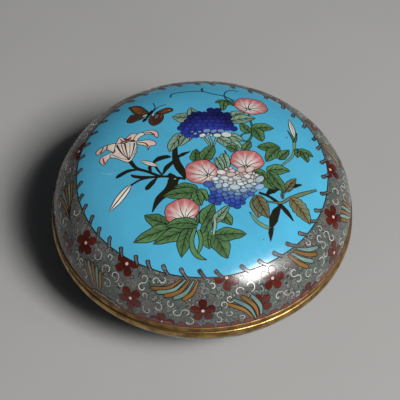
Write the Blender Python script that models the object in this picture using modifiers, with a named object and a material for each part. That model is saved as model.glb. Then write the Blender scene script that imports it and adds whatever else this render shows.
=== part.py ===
"""Round lidded box of enamelled copper with gilt brass rims. Metres, +Z up.

The origin is at the middle of the foot ring's underside. Every piece is turned about the Z axis:
a domed lid with its rim band rests on a bowl with a rim band, a locating lip and a foot ring.
The lid is loose and lifts straight off.
"""

import math

import bpy

# Driving dimensions of the whole box
BOX_RADIUS = 0.0600  # outside of the bowl's rim band, the widest part
SEAM_HEIGHT = 0.0275  # table to the seam between lid and bowl
LID_RISE = 0.0285  # seam to the top of the dome
BOTTOM_CLEARANCE = 0.0016  # table to the middle of the bowl's underside
WALL = 0.0022  # copper with its enamel on both faces
LID_FULLNESS = 2.6  # exponent of the dome's curve, where 2 is an ellipse
BOWL_FULLNESS = 2.3  # exponent of the bowl's curve

# Rim bands, lip and foot
RIM_STEP = 0.0009  # how far the bowl's rim band stands out from the enamel
LID_RIM_STEP = 0.0005  # how far the lid's rim band stands out from the enamel
LID_RIM_HEIGHT = 0.0022
BOWL_RIM_HEIGHT = 0.0036
LIP_RISE = 0.0045  # seam to the top of the locating lip
LIP_THICKNESS = 0.0010
LIP_CLEARANCE = 0.0004  # radial play between the lip and the lid
FOOT_RADIUS = 0.0330  # outside of the foot ring
FOOT_WIDTH = 0.0026
FOOT_CHAMFER = 0.0004
FIT_GAP = 0.0003  # between any two pieces that rest on each other

# Fineness of the turned shapes
SIDES = 60
SHELL_STEPS = 9
BEAD_STEPS = 6
MERGE_DISTANCE = 0.00001

ENAMEL_RADIUS = BOX_RADIUS - RIM_STEP
BOWL_DEPTH = SEAM_HEIGHT - BOTTOM_CLEARANCE

COLLECTION = "cloisonne_box"
TURQUOISE = (0.10, 0.46, 0.66, 1.0)
GREY_ENAMEL = (0.20, 0.21, 0.20, 1.0)
GILT = (0.52, 0.33, 0.10, 1.0)


def oval_radius(radius, depth, fullness, height):
    """Radius of a full oval curve at a height above its widest level."""
    share = min(max(height / depth, 0.0), 1.0)
    return radius * (1.0 - share**fullness) ** (1.0 / fullness)


def oval_height(radius, depth, fullness, distance):
    """Height of a full oval curve above its widest level, at a distance from the axis."""
    return oval_radius(depth, radius, fullness, distance)


def oval_curve(radius, depth, fullness, edge_height, steps):
    """Points (distance from axis, height) from the top of a full oval curve down to edge_height."""
    edge_angle = math.asin((edge_height / depth) ** (fullness / 2.0))
    points = []
    for i in range(steps + 1):
        angle = math.pi / 2.0 + (edge_angle - math.pi / 2.0) * i / steps
        reach = radius * max(math.cos(angle), 0.0) ** (2.0 / fullness)
        points.append((reach, depth * math.sin(angle) ** (2.0 / fullness)))
    points[0] = (0.0, depth)
    return points


def bead(flat_radius, bead_radius, top, bottom):
    """Points down the rounded outside of a rim band, from its top edge to its bottom edge."""
    middle = (top + bottom) / 2.0
    half = (top - bottom) / 2.0
    points = []
    for i in range(BEAD_STEPS + 1):
        angle = math.pi * (0.5 - i / BEAD_STEPS)
        reach = flat_radius + (bead_radius - flat_radius) * math.cos(angle)
        points.append((reach, middle + half * math.sin(angle)))
    return points


def enamel(name, colour):
    """Glossy enamel."""
    material = bpy.data.materials.new(name)
    material.use_nodes = True
    shader = material.node_tree.nodes["Principled BSDF"]
    shader.inputs["Base Color"].default_value = colour
    shader.inputs["Roughness"].default_value = 0.14
    return material


def gilt_brass():
    """Worn gilding over brass."""
    material = bpy.data.materials.get("gilt_brass") or bpy.data.materials.new("gilt_brass")
    material.use_nodes = True
    shader = material.node_tree.nodes["Principled BSDF"]
    shader.inputs["Base Color"].default_value = GILT
    shader.inputs["Metallic"].default_value = 1.0
    shader.inputs["Roughness"].default_value = 0.32
    return material


def turned(name, profile, closed, material, collection):
    """An object made by turning a profile about Z. A closed profile makes a ring."""
    count = len(profile)
    edges = [(i, i + 1) for i in range(count - 1)]
    if closed:
        edges.append((count - 1, 0))
    mesh = bpy.data.meshes.new(name)
    mesh.from_pydata([(reach, 0.0, height) for reach, height in profile], edges, [])
    mesh.materials.append(material)
    obj = bpy.data.objects.new(name, mesh)
    collection.objects.link(obj)
    screw = obj.modifiers.new("turn", "SCREW")
    screw.axis = "Z"
    screw.angle = 2.0 * math.pi
    screw.steps = SIDES
    screw.render_steps = SIDES
    screw.use_merge_vertices = True
    screw.merge_threshold = MERGE_DISTANCE
    screw.use_smooth_shade = True
    return obj


def shell_profile(radius, depth, fullness, edge_height):
    """Profile of a hollow cap of even wall, opening downwards, from its outer top to its inner top."""
    outer = oval_curve(radius, depth, fullness, edge_height, SHELL_STEPS)
    inner = oval_curve(radius - WALL, depth - WALL, fullness, edge_height, SHELL_STEPS - 1)
    return outer + inner[::-1]


def lid_inner_radius(height):
    """Radius of the lid's inner wall at a height above the seam."""
    return oval_radius(ENAMEL_RADIUS - WALL, LID_RISE - WALL, LID_FULLNESS, height)


def bowl_underside(distance):
    """Height above the table of the bowl's outer face, at a distance from the axis."""
    rise = oval_height(ENAMEL_RADIUS, BOWL_DEPTH, BOWL_FULLNESS, distance)
    return SEAM_HEIGHT - rise


def lid_shell(collection):
    """The domed copper lid, enamelled outside and in."""
    edge = FIT_GAP + LID_RIM_HEIGHT + FIT_GAP
    profile = shell_profile(ENAMEL_RADIUS, LID_RISE, LID_FULLNESS, edge)
    placed = [(reach, SEAM_HEIGHT + height) for reach, height in profile]
    return turned("lid_shell", placed, False, enamel("lid_enamel", TURQUOISE), collection)


def bowl_shell(collection):
    """The copper bowl, enamelled outside and in."""
    edge = BOWL_RIM_HEIGHT + FIT_GAP
    profile = shell_profile(ENAMEL_RADIUS, BOWL_DEPTH, BOWL_FULLNESS, edge)
    placed = [(reach, SEAM_HEIGHT - height) for reach, height in profile[::-1]]
    return turned("bowl_shell", placed, False, enamel("bowl_enamel", GREY_ENAMEL), collection)


def lid_rim(collection):
    """The brass band round the lid's mouth."""
    bottom = SEAM_HEIGHT + FIT_GAP
    top = bottom + LID_RIM_HEIGHT
    inner = lid_inner_radius(LID_RIM_HEIGHT)
    outside = bead(ENAMEL_RADIUS, ENAMEL_RADIUS + LID_RIM_STEP, top, bottom)
    profile = outside + [(inner, bottom), (inner, top)]
    return turned("lid_rim", profile, True, gilt_brass(), collection)


def bowl_rim(collection):
    """The brass band round the bowl's mouth, with the upright lip that keeps the lid in place."""
    bottom = SEAM_HEIGHT - BOWL_RIM_HEIGHT
    lip_top = SEAM_HEIGHT + LIP_RISE
    widest_lid_fit = min(lid_inner_radius(LID_RIM_HEIGHT), lid_inner_radius(LIP_RISE))
    lip_outer = widest_lid_fit - LIP_CLEARANCE
    lip_inner = lip_outer - LIP_THICKNESS
    outside = bead(ENAMEL_RADIUS, BOX_RADIUS, SEAM_HEIGHT, bottom)
    chamfer = LIP_THICKNESS / 3.0
    lip = [
        (lip_inner, bottom),
        (lip_inner, lip_top),
        (lip_outer - chamfer, lip_top),
        (lip_outer, lip_top - chamfer),
        (lip_outer, SEAM_HEIGHT),
    ]
    return turned("bowl_rim", outside + lip, True, gilt_brass(), collection)


def foot_ring(collection):
    """The low brass ring that the bowl stands on."""
    inner = FOOT_RADIUS - FOOT_WIDTH
    middle = (FOOT_RADIUS + inner) / 2.0
    seat = [(reach, bowl_underside(reach) - FIT_GAP) for reach in (inner, middle, FOOT_RADIUS)]
    base = [
        (FOOT_RADIUS, FOOT_CHAMFER),
        (FOOT_RADIUS - FOOT_CHAMFER, 0.0),
        (inner + FOOT_CHAMFER, 0.0),
        (inner, FOOT_CHAMFER),
    ]
    return turned("foot_ring", seat + base, True, gilt_brass(), collection)


def clear_scene():
    """Removes what the scene starts with."""
    for obj in list(bpy.data.objects):
        bpy.data.objects.remove(obj)


def build_box():
    """Makes every piece of the box in one collection."""
    clear_scene()
    collection = bpy.data.collections.new(COLLECTION)
    bpy.context.scene.collection.children.link(collection)
    return [make(collection) for make in (lid_shell, lid_rim, bowl_shell, bowl_rim, foot_ring)]


build_box()
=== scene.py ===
"""Round cloisonne enamel box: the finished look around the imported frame. Metres, +Z up.

Each shell is a core with a skin on it, made the way the real one is: fine wires bent to a drawing, enamel
between them, and the whole ground level. A drawing is a list of overlapping outlines in painter's order, in
millimetres, on the shell laid out flat about its pole. One constrained triangulation cuts it into cells that
meet edge to edge, and the cells are bent back over the shell and given their thickness.
"""

import logging
import math
import random
from collections.abc import Callable, Sequence
from dataclasses import dataclass, field
from enum import Enum

import bpy
import numpy as np
from mathutils import Matrix, Vector
from mathutils.geometry import delaunay_2d_cdt


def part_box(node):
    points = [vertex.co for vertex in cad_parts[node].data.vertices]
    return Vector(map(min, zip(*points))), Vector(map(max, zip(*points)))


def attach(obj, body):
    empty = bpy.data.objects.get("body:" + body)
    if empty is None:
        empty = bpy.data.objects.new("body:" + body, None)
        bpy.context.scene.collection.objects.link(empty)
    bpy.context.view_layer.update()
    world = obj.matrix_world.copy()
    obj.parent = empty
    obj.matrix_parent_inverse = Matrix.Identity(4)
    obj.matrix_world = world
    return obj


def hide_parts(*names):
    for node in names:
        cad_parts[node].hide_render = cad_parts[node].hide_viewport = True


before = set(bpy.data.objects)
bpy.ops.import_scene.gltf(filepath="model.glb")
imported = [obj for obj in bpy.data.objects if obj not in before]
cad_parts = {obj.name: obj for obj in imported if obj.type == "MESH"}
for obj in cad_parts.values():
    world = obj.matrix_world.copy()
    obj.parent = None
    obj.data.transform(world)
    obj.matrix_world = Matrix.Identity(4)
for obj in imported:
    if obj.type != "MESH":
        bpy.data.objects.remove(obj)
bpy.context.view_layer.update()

LOG = logging.getLogger("cloisonne_box")

MM = 0.001
FULL_TURN = 2.0 * math.pi
TINY = 1e-9  # keeps a division off zero
CLOSE = 1e-6  # what counts as touching, in millimetres on a drawing and in metres on a turned piece

Colour = tuple[float, float, float]
Socket = bpy.types.NodeSocket
Source = Socket | float | Sequence[float]
Outline = np.ndarray  # complex numbers, across plus up times 1j, in millimetres
GLAZE = "glaze"  # the mesh attribute that holds the enamel's colours

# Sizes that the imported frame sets
LID_LOW, LID_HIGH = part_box("lid_shell")
LID_RIM_LOW, LID_RIM_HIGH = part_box("lid_rim")
BOWL_LOW, BOWL_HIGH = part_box("bowl_shell")
BOWL_RIM_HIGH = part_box("bowl_rim")[1]
FOOT_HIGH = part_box("foot_ring")[1]

# Sizes of the construction that the frame's boxes don't show
FIT_GAP = 0.0003
WALL = 0.0022
LID_RIM_STEP = 0.0005
LIP_THICKNESS = 0.0010
LIP_PLAY = 0.0004
FOOT_WIDTH = 0.0026
LID_FULLNESS = 2.6
BOWL_FULLNESS = 2.3
SEAM = LID_RIM_LOW.z - FIT_GAP
ENAMEL_RADIUS = LID_RIM_HIGH.x - LID_RIM_STEP

# The skin of wires and enamel on each shell
SKIN = 0.00016
WIRE_PROUD = 0.00003
PANEL_RADIUS = 0.0487


class Tile(Enum):
    """What a cell of a skin is filled with. The value is the name of the piece that it joins."""

    PANEL = "turquoise_ground"
    BORDER = "grey_ground"
    LEAF = "green_leaves"
    PALE_LEAF = "pale_leaves"
    AUTUMN_LEAF = "brown_leaves"
    DARK_LEAF = "dark_leaves"
    PINK = "pink_flowers"
    FLORET = "hydrangeas"
    LILY = "lily"
    BUTTERFLY = "butterfly"
    RED = "red_blossoms"
    FAN = "fans"
    DARK_WIRE = "dark_wires"
    BRIGHT_WIRE = "bright_wires"
    DIM_WIRE = "dim_wires"


WIRES = (Tile.DARK_WIRE, Tile.BRIGHT_WIRE, Tile.DIM_WIRE)

# Enamel colours, linear
TURQUOISE: Colour = (0.074, 0.395, 0.600)
GREY: Colour = (0.102, 0.098, 0.096)
GREY_GREEN: Colour = (0.080, 0.097, 0.086)
TOOTH_GREY: Colour = (0.104, 0.099, 0.101)
GREEN: Colour = (0.093, 0.208, 0.078)
DEEP_GREEN: Colour = (0.055, 0.122, 0.046)
PALE_GREEN: Colour = (0.243, 0.372, 0.275)
SAGE: Colour = (0.142, 0.250, 0.164)
OLIVE: Colour = (0.138, 0.182, 0.104)
RUST: Colour = (0.165, 0.108, 0.042)
BLACK_GREEN: Colour = (0.013, 0.013, 0.007)
CREAM: Colour = (0.720, 0.695, 0.595)
SHELL_PINK: Colour = (0.690, 0.450, 0.410)
LILY_RED: Colour = (0.220, 0.060, 0.045)
ROSE: Colour = (0.475, 0.132, 0.138)
BLUSH: Colour = (0.530, 0.262, 0.260)
PETAL_WHITE: Colour = (0.700, 0.680, 0.630)
FLORET_PINK: Colour = (0.645, 0.460, 0.430)
FLORET_WHITE: Colour = (0.560, 0.620, 0.620)
FLORET_PALE: Colour = (0.258, 0.432, 0.595)
FLORET_BLUE: Colour = (0.030, 0.072, 0.370)
COBALT: Colour = (0.012, 0.013, 0.105)
BRIGHT_COBALT: Colour = (0.027, 0.043, 0.312)
ORANGE: Colour = (0.220, 0.070, 0.013)
MAROON: Colour = (0.058, 0.014, 0.012)
SOOT: Colour = (0.008, 0.008, 0.007)
BLOSSOM_RED: Colour = (0.096, 0.012, 0.007)
BLOSSOM_DEEP: Colour = (0.058, 0.008, 0.005)
OCHRE: Colour = (0.240, 0.116, 0.030)
DUCK_EGG: Colour = (0.160, 0.270, 0.250)
SCALLOP_RED: Colour = (0.172, 0.040, 0.044)
BLOSSOM_EYE: Colour = (0.600, 0.430, 0.380)
WING_BROWN: Colour = (0.060, 0.045, 0.026)
TENDRIL_TEAL: Colour = (0.020, 0.085, 0.090)
BODY_GREY: Colour = (0.105, 0.135, 0.135)
PIT_BLACK: Colour = (0.012, 0.012, 0.012)


def mixed(first: Colour, second: Colour, share: float) -> Colour:
    """Returns the colour that lies a share of the way from the first to the second."""
    share = min(max(share, 0.0), 1.0)
    return tuple(a + (b - a) * share for a, b in zip(first, second))


def scaled(colour: Colour, factor: float) -> Colour:
    """Returns a colour made lighter or darker by a factor."""
    return tuple(channel * factor for channel in colour)


Paint = Callable[[complex], Colour]


def flat(colour: Colour) -> Paint:
    """Returns a paint of one colour."""
    return lambda place: colour


# What a wire's cells are painted with, because its colour is in its material
BARE_WIRE = flat((1.0, 1.0, 1.0))


def along(start: complex, end: complex, first: Colour, last: Colour) -> Paint:
    """Returns a paint that runs from a colour at one end of a line to another at its other end."""
    axis = end - start
    return lambda place: mixed(first, last, ((place - start) * axis.conjugate()).real / abs(axis) ** 2)


def around(centre: complex, reach: float, inner: Colour, outer: Colour, hold: float = 0.0) -> Paint:
    """Returns a paint that changes from a centre to a reach, after a share of the reach that it holds."""
    return lambda place: mixed(inner, outer, (abs(place - centre) / reach - hold) / (1.0 - hold))


def turned_by(degrees: float) -> complex:
    """Returns the factor that turns a point of the drawing anticlockwise."""
    return complex(math.cos(math.radians(degrees)), math.sin(math.radians(degrees)))


def smooth_line(points: Sequence[complex], spans: int = 6) -> Outline:
    """Returns a smooth line through points, each stretch drawn with some spans."""
    ends = [2 * points[0] - points[1], *points, 2 * points[-1] - points[-2]]
    stretches = range(len(points) - 1)
    curve = [catmull(ends[i : i + 4], step / spans) for i in stretches for step in range(spans)]
    return np.array([*curve, points[-1]])


def smooth_loop(points: Sequence[complex], spans: int = 6) -> Outline:
    """Returns a smooth closed outline through points, each stretch drawn with some spans."""
    count = len(points)
    ring = [points[(i - 1) % count] for i in range(count + 3)]
    return np.array([catmull(ring[i : i + 4], step / spans) for i in range(count) for step in range(spans)])


def catmull(four: Sequence[complex], share: float) -> complex:
    """Returns the point a share of the way between the middle two of four points on a smooth curve."""
    a, b, c, d = four
    return 0.5 * (
        2 * b
        + (c - a) * share
        + (2 * a - 5 * b + 4 * c - d) * share**2
        + (3 * b - a - 3 * c + d) * share**3
    )


def oval(centre: complex, long: float, short: float, turn: float = 0.0, count: int = 14) -> Outline:
    """Returns an ellipse by half its length and half its breadth, with its length turned by degrees."""
    angles = np.arange(count) * FULL_TURN / count
    return centre + (long * np.cos(angles) + 1j * short * np.sin(angles)) * turned_by(turn)


def sides(line: Outline) -> Outline:
    """Returns the direction to the left of a line at each of its points, of length one."""
    heading = np.gradient(line)
    return 1j * heading / np.maximum(np.abs(heading), TINY)


def ribbon(line: Outline, widths: np.ndarray | float) -> Outline:
    """Returns the outline of a band along a line, with a width at each point."""
    half = sides(line) * widths / 2.0
    return np.concatenate([line - half, (line + half)[::-1]])


def widths_along(line: Outline, marks: Sequence[float], widths: Sequence[float]) -> np.ndarray:
    """Returns the width at each point of a line, from its widths at marks between 0 and 1."""
    return np.interp(np.linspace(0.0, 1.0, len(line)), marks, widths)


def bowed(start: complex, end: complex, bow: float, spans: int) -> Outline:
    """Returns a line between two points that bows to its left by a share of its length."""
    return smooth_line((start, (start + end) / 2.0 + bow * 1j * (end - start), end), spans)


def circle(radius: float) -> Outline:
    """Returns a point on each degree of a circle about the pole."""
    return radius * np.exp(1j * np.radians(np.arange(0.0, 360.0, 1.0)))


def area(outline: Outline) -> float:
    """Returns the signed area of an outline, positive where it runs anticlockwise."""
    following = np.roll(outline, -1)
    return float(np.sum((outline.conjugate() * following).imag) / 2.0)


def inset(outline: Outline, depth: float) -> Outline:
    """Moves an outline inwards, whichever way round it runs.

    Args:
        outline: The outline.
        depth: How far each side moves in.

    Returns:
        The smaller outline. At a sharp corner it moves in by up to three times as much.
    """
    after = np.roll(outline, -1) - outline
    after /= np.maximum(np.abs(after), TINY)
    before = np.roll(after, 1)
    inward = 1j * (before + after)
    inward /= np.maximum(np.abs(inward), TINY)
    lean = np.maximum((inward.conjugate() * 1j * after).real, 1.0 / 3.0)
    return outline + inward * math.copysign(depth, area(outline)) / lean


def trimmed(outline: Outline, edge: float) -> Outline:
    """Cuts off what passes a circle about the pole.

    Args:
        outline: The outline.
        edge: The circle's radius.

    Returns:
        The part of the outline within the circle, closed along it.
    """
    over = np.abs(outline) - edge
    if float(over.max()) < CLOSE:
        return outline
    kept: list[complex] = []
    for i in range(len(outline)):
        after = (i + 1) % len(outline)
        if over[i] <= 0.0:
            kept.append(outline[i])
        if (over[i] <= 0.0) != (over[after] <= 0.0):
            share = over[i] / (over[i] - over[after])
            kept.append(outline[i] + (outline[after] - outline[i]) * share)
    return np.array(kept)


@dataclass
class ShellForm:
    """The outer curve of a shell, and the way a flat drawing is bent over it.

    The drawing is laid out about the pole, with true distances along the shell from the pole outwards.
    """

    radius: float  # at the widest level, in metres
    depth: float  # from the widest level to the pole, in metres
    fullness: float  # exponent of the curve, where 2 is an ellipse
    mouth: float  # height of the widest level, in metres
    up: float  # 1 where the pole is the top, and -1 where it is the bottom

    STEPS = 6000

    def __post_init__(self) -> None:
        """Works out the curve, and the distance from the pole along it."""
        angles = np.linspace(math.pi / 2.0, 0.0, self.STEPS)
        self.reach = self.radius * np.maximum(np.cos(angles), 0.0) ** (2.0 / self.fullness)
        self.rise = self.depth * np.maximum(np.sin(angles), 0.0) ** (2.0 / self.fullness)
        steps = np.hypot(np.diff(self.reach), np.diff(self.rise))
        self.run = np.concatenate([[0.0], np.cumsum(steps)]) / MM

    def run_at_radius(self, radius: float) -> float:
        """Returns the distance from the pole along the shell, in millimetres, at a radius in metres."""
        return float(np.interp(radius, self.reach, self.run))

    def run_at_height(self, height: float) -> float:
        """Returns the distance from the pole along the shell, in millimetres, at a height in metres."""
        rise = (height - self.mouth) * self.up
        return float(np.interp(-rise, -self.rise, self.run))

    def radius_at(self, run: np.ndarray | float) -> np.ndarray | float:
        """Returns the radius in millimetres at a distance from the pole along the shell."""
        return np.interp(run, self.run, self.reach) / MM

    def normals(self, points: np.ndarray) -> np.ndarray:
        """Returns the outward direction of the shell at points near it."""
        reach = np.hypot(points[:, 0], points[:, 1])
        rise = np.abs(points[:, 2] - self.mouth)
        power = self.fullness - 1.0
        out = (reach / self.radius) ** power / self.radius
        axial = (rise / self.depth) ** power / self.depth * self.up
        safe = np.maximum(reach, TINY)
        found = np.stack([out * points[:, 0] / safe, out * points[:, 1] / safe, axial], axis=1)
        return found / np.linalg.norm(found, axis=1, keepdims=True)

    def bend(self, flat_points: np.ndarray, lift: float) -> np.ndarray:
        """Bends a drawing over the shell.

        Args:
            flat_points: Points of the drawing as complex numbers, in millimetres.
            lift: How far outside the shell's surface they come to lie, in metres.

        Returns:
            An array of places in metres, one row for each point.
        """
        run = np.abs(flat_points)
        direction = flat_points / np.maximum(run, TINY)
        reach = np.interp(run, self.run, self.reach)
        height = self.mouth + self.up * np.interp(run, self.run, self.rise)
        points = np.stack([direction.real * reach, direction.imag * reach, height], axis=1)
        return points + self.normals(points) * lift

    def section(self, first: float, last: float, steps: int, lift: float) -> list[tuple[float, float]]:
        """Returns the curve between two distances from the pole, lifted, as a section to turn."""
        bent = self.bend(np.linspace(first, last, steps + 1) + 0j, lift)
        return [(max(float(x), 0.0), float(z)) for x, _, z in bent]


@dataclass
class Cell:
    """One outline of a drawing, with what fills it."""

    outline: Outline
    tile: Tile
    paint: Paint


@dataclass
class Drawing:
    """Outlines in painter's order on a shell that is laid out flat. Later ones cover earlier ones."""

    form: ShellForm
    edge: float
    cells: list[Cell] = field(default_factory=list)
    dots: list[complex] = field(default_factory=list)

    WIRE = 0.30
    NET = 1.7
    MERGE = 1e-5
    NUDGE = 0.0008
    TRIES = 6
    SPILL_SHARE = 1.4
    SPILL_AREA = 0.1

    def add(self, outline: Outline, tile: Tile = Tile.DARK_WIRE, paint: Paint = BARE_WIRE) -> None:
        """Adds an outline on top of what is there, cut off where it passes the shell's edge."""
        if area(outline) < 0.0:
            outline = outline[::-1]
        outline = trimmed(outline, self.edge)
        if len(outline) > 2:
            start = len(outline) // 4
            self.cells.append(Cell(np.roll(outline, -start), tile, paint))

    def walled(self, outline: Outline, tile: Tile, paint: Paint, wire: float = WIRE) -> None:
        """Adds an outline with a dark wire all round it.

        Args:
            outline: The outer edge of the wire.
            tile: What fills the cell inside it.
            paint: The cell's paint.
            wire: The wire's width, in millimetres.
        """
        if area(outline) < 0.0:
            outline = outline[::-1]
        self.add(outline)
        self.add(inset(outline, wire), tile, paint)

    def stroke(self, line: Outline, start: float, end: float, tile: Tile = Tile.DARK_WIRE,
               paint: Paint = BARE_WIRE) -> None:
        """Adds a band along a line, by its widths at the start and at the end."""
        self.add(ribbon(line, np.linspace(start, end, len(line))), tile, paint)

    def net(self) -> list[complex]:
        """Returns points all over the shell, close enough together to carry its curve."""
        rings = int(self.edge / self.NET)
        found = [0j]
        for ring in range(1, rings + 1):
            run = ring * self.edge / (rings + 0.5)
            count = int(FULL_TURN * run / self.NET)
            shift = 0.5 * (ring % 2)
            found += [run * turned_by(360.0 * (i + shift) / count) for i in range(count)]
        return found

    def divide(self, seed: int) -> tuple[np.ndarray, np.ndarray, list[int], int]:
        """Cuts the drawing with its points nudged a little, because exact symmetry upsets the triangulation.

        Args:
            seed: Sets how the points are nudged.

        Returns:
            The flat points, the triangles, the topmost cell on each, and how many cells spilled over.
        """
        outlines = [cell.outline for cell in self.cells]
        corners = np.concatenate([*outlines, np.array(self.net() + self.dots)])
        corners = corners + self.NUDGE * (
            np.sin(917.3 * corners.real + 613.7 * corners.imag + seed)
            + 1j * np.cos(577.1 * corners.real - 859.9 * corners.imag + seed)
        )
        counts = np.cumsum([0] + [len(outline) for outline in outlines])
        faces = [list(range(first, last)) for first, last in zip(counts, counts[1:])]
        flat_corners = [Vector((point.real, point.imag)) for point in corners]
        points, _, triangles, _, _, owners = delaunay_2d_cdt(flat_corners, [], faces, 0, self.MERGE, True)
        spots = np.array([complex(point.x, point.y) for point in points])
        shape = np.array(triangles)
        a, b, c = spots[shape].T
        sizes = np.abs(((b - a).conjugate() * (c - a)).imag) / 2.0
        claimed = np.zeros(len(faces))
        for size, owner in zip(sizes, owners):
            claimed[owner] += size
        own = np.array([area(outline) for outline in outlines])
        spilled = claimed > self.SPILL_SHARE * own + self.SPILL_AREA
        tops = [max((one for one in owner if not spilled[one]), default=-1) for owner in owners]
        return spots, shape, tops, int(spilled.sum())

    def cut(self) -> dict[Tile, tuple[np.ndarray, np.ndarray, np.ndarray]]:
        """Cuts the drawing into cells that meet edge to edge.

        Returns:
            For each tile its flat points, its triangles and the colour at each triangle's corners.
        """
        for seed in range(self.TRIES):
            spots, shape, tops, spilled = self.divide(seed)
            LOG.info("cut %d cells into %d triangles, %d spilled", len(self.cells), len(shape), spilled)
            if not spilled:
                break
        groups: dict[Tile, list[int]] = {}
        for index, top in enumerate(tops):
            if top >= 0:
                groups.setdefault(self.cells[top].tile, []).append(index)
        parts = {}
        for tile, members in groups.items():
            colours = [self.cells[tops[i]].paint(spots[corner]) for i in members for corner in shape[i]]
            used, renumbered = np.unique(shape[members], return_inverse=True)
            parts[tile] = (spots[used], renumbered.reshape(-1, 3), np.array(colours))
        return parts


def select_only(obj: bpy.types.Object) -> None:
    """Selects one object and makes it active."""
    bpy.ops.object.select_all(action="DESELECT")
    obj.select_set(True)
    bpy.context.view_layer.objects.active = obj


def turn_section(name: str, section: Sequence[tuple[float, float]], closed: bool, steps: int,
                 crease: float) -> bpy.types.Object:
    """Turns a section about the Z axis, as on a lathe.

    Args:
        name: The object's name.
        section: Pairs of distance from the axis and height, in metres.
        closed: True where the section is a ring's, and False where both its ends lie on the axis.
        steps: How many steps the turn has.
        crease: The angle between faces above which an edge stays sharp, in degrees.

    Returns:
        The turned object, closed and with its faces pointing outwards.
    """
    bpy.ops.object.select_all(action="DESELECT")
    bpy.ops.mesh.primitive_circle_add(vertices=len(section), radius=ENAMEL_RADIUS)
    obj = bpy.context.object
    obj.name = name
    obj.data.name = name
    for vertex, (reach, height) in zip(obj.data.vertices, section):
        vertex.co = (reach, 0.0, height)
    bpy.ops.object.mode_set(mode="EDIT")
    if not closed:
        bpy.ops.mesh.select_mode(type="EDGE")
        bpy.ops.mesh.select_all(action="DESELECT")
        bpy.ops.object.mode_set(mode="OBJECT")
        for edge in obj.data.edges:
            edge.select = set(edge.vertices) == {0, len(section) - 1}
        bpy.ops.object.mode_set(mode="EDIT")
        bpy.ops.mesh.delete(type="EDGE")
        bpy.ops.mesh.select_mode(type="VERT")
    bpy.ops.mesh.select_all(action="SELECT")
    bpy.ops.mesh.spin(steps=steps, angle=FULL_TURN, center=(0.0, 0.0, 0.0), axis=(0.0, 0.0, 1.0))
    bpy.ops.mesh.select_all(action="SELECT")
    bpy.ops.mesh.remove_doubles(threshold=CLOSE)
    bpy.ops.mesh.normals_make_consistent(inside=False)
    bpy.ops.object.mode_set(mode="OBJECT")
    select_only(obj)
    bpy.ops.object.shade_smooth_by_angle(angle=math.radians(crease))
    return obj


def arc_points(centre: tuple[float, float], radii: tuple[float, float], first: float, last: float,
               steps: int) -> list[tuple[float, float]]:
    """Returns points along part of an upright ellipse, between two angles in degrees."""
    angles = [math.radians(first + (last - first) * i / steps) for i in range(steps + 1)]
    return [(centre[0] + radii[0] * math.cos(a), centre[1] + radii[1] * math.sin(a)) for a in angles]


class NodeBench:
    """Builds one material's nodes with short calls."""

    def __init__(self, name: str) -> None:
        """Starts a material with its shader and the object's own coordinates."""
        self.material = bpy.data.materials.new(name)
        self.material.use_nodes = True
        self.nodes = self.material.node_tree.nodes
        self.shader = self.nodes["Principled BSDF"]
        self.place = self.nodes.new("ShaderNodeTexCoord").outputs["Object"]

    def feed(self, node: bpy.types.Node, **inputs: Source) -> None:
        """Links or sets inputs of a node, by their names with a low line for each space."""
        for name, source in inputs.items():
            self.plug(node.inputs[name.replace("_", " ")], source)

    def plug(self, target: Socket, source: Source) -> None:
        """Links an input to a socket, or sets it to a value."""
        if isinstance(source, Socket):
            self.material.node_tree.links.new(source, target)
        else:
            target.default_value = source

    def node(self, kind: str, **inputs: Source) -> bpy.types.Node:
        """Returns a new node of a kind, with its inputs linked or set."""
        node = self.nodes.new(f"ShaderNode{kind}")
        self.feed(node, **inputs)
        return node

    def noise(self, scale: float, detail: float = 3.0, stretch: Sequence[float] = (1, 1, 1)) -> Socket:
        """Returns the value of a noise of a scale per metre, stretched along the axes."""
        spread = self.node("Mapping", Vector=self.place, Scale=stretch).outputs["Vector"]
        return self.node("TexNoise", Vector=spread, Scale=scale, Detail=detail).outputs["Fac"]

    def distances(self, scale: float) -> Socket:
        """Returns the distance to the nearest of points scattered at a scale per metre."""
        return self.node("TexVoronoi", Vector=self.place, Scale=scale).outputs["Distance"]

    def between(self, value: Socket, low: float, high: float, first: float, last: float) -> Socket:
        """Returns a value whose range from low to high is laid on the range from first to last."""
        node = self.node("MapRange", Value=value, From_Min=low, From_Max=high, To_Min=first, To_Max=last)
        return node.outputs["Result"]

    def varied(self, value: Socket, low: float, high: float) -> Socket:
        """Returns a noise's value laid on a range, with its middle part over the whole of it."""
        return self.between(value, 0.3, 0.7, low, high)

    def combined(self, operation: str, first: Socket, second: Socket | float) -> Socket:
        """Returns two values put together by a Math operation."""
        node = self.node("Math")
        node.operation = operation
        self.plug(node.inputs[0], first)
        self.plug(node.inputs[1], second)
        return node.outputs["Value"]

    def blended(self, share: Socket, first: Socket | Colour, second: Socket | Colour) -> Socket:
        """Returns two colours put together, by a share of the second."""
        node = self.node("Mix")
        node.data_type = "RGBA"
        self.feed(node, Factor=share)
        for name, colour in (("A", first), ("B", second)):
            sockets = (socket for socket in node.inputs if socket.name == name and socket.type == "RGBA")
            self.plug(next(sockets), (*colour, 1.0) if isinstance(colour, tuple) else colour)
        return next(socket for socket in node.outputs if socket.type == "RGBA")

    def toned(self, colour: Socket, factor: Socket) -> Socket:
        """Returns a colour made lighter or darker by a value."""
        node = self.node("VectorMath")
        node.operation = "SCALE"
        self.plug(node.inputs[0], colour)
        self.feed(node, Scale=factor)
        return node.outputs["Vector"]

    def bump(self, height: Socket, strength: float, distance: float) -> None:
        """Gives the shader a bump by a height, of a strength and a distance in metres."""
        node = self.node("Bump", Strength=strength, Distance=distance, Height=height)
        self.feed(self.shader, Normal=node.outputs["Normal"])


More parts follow.
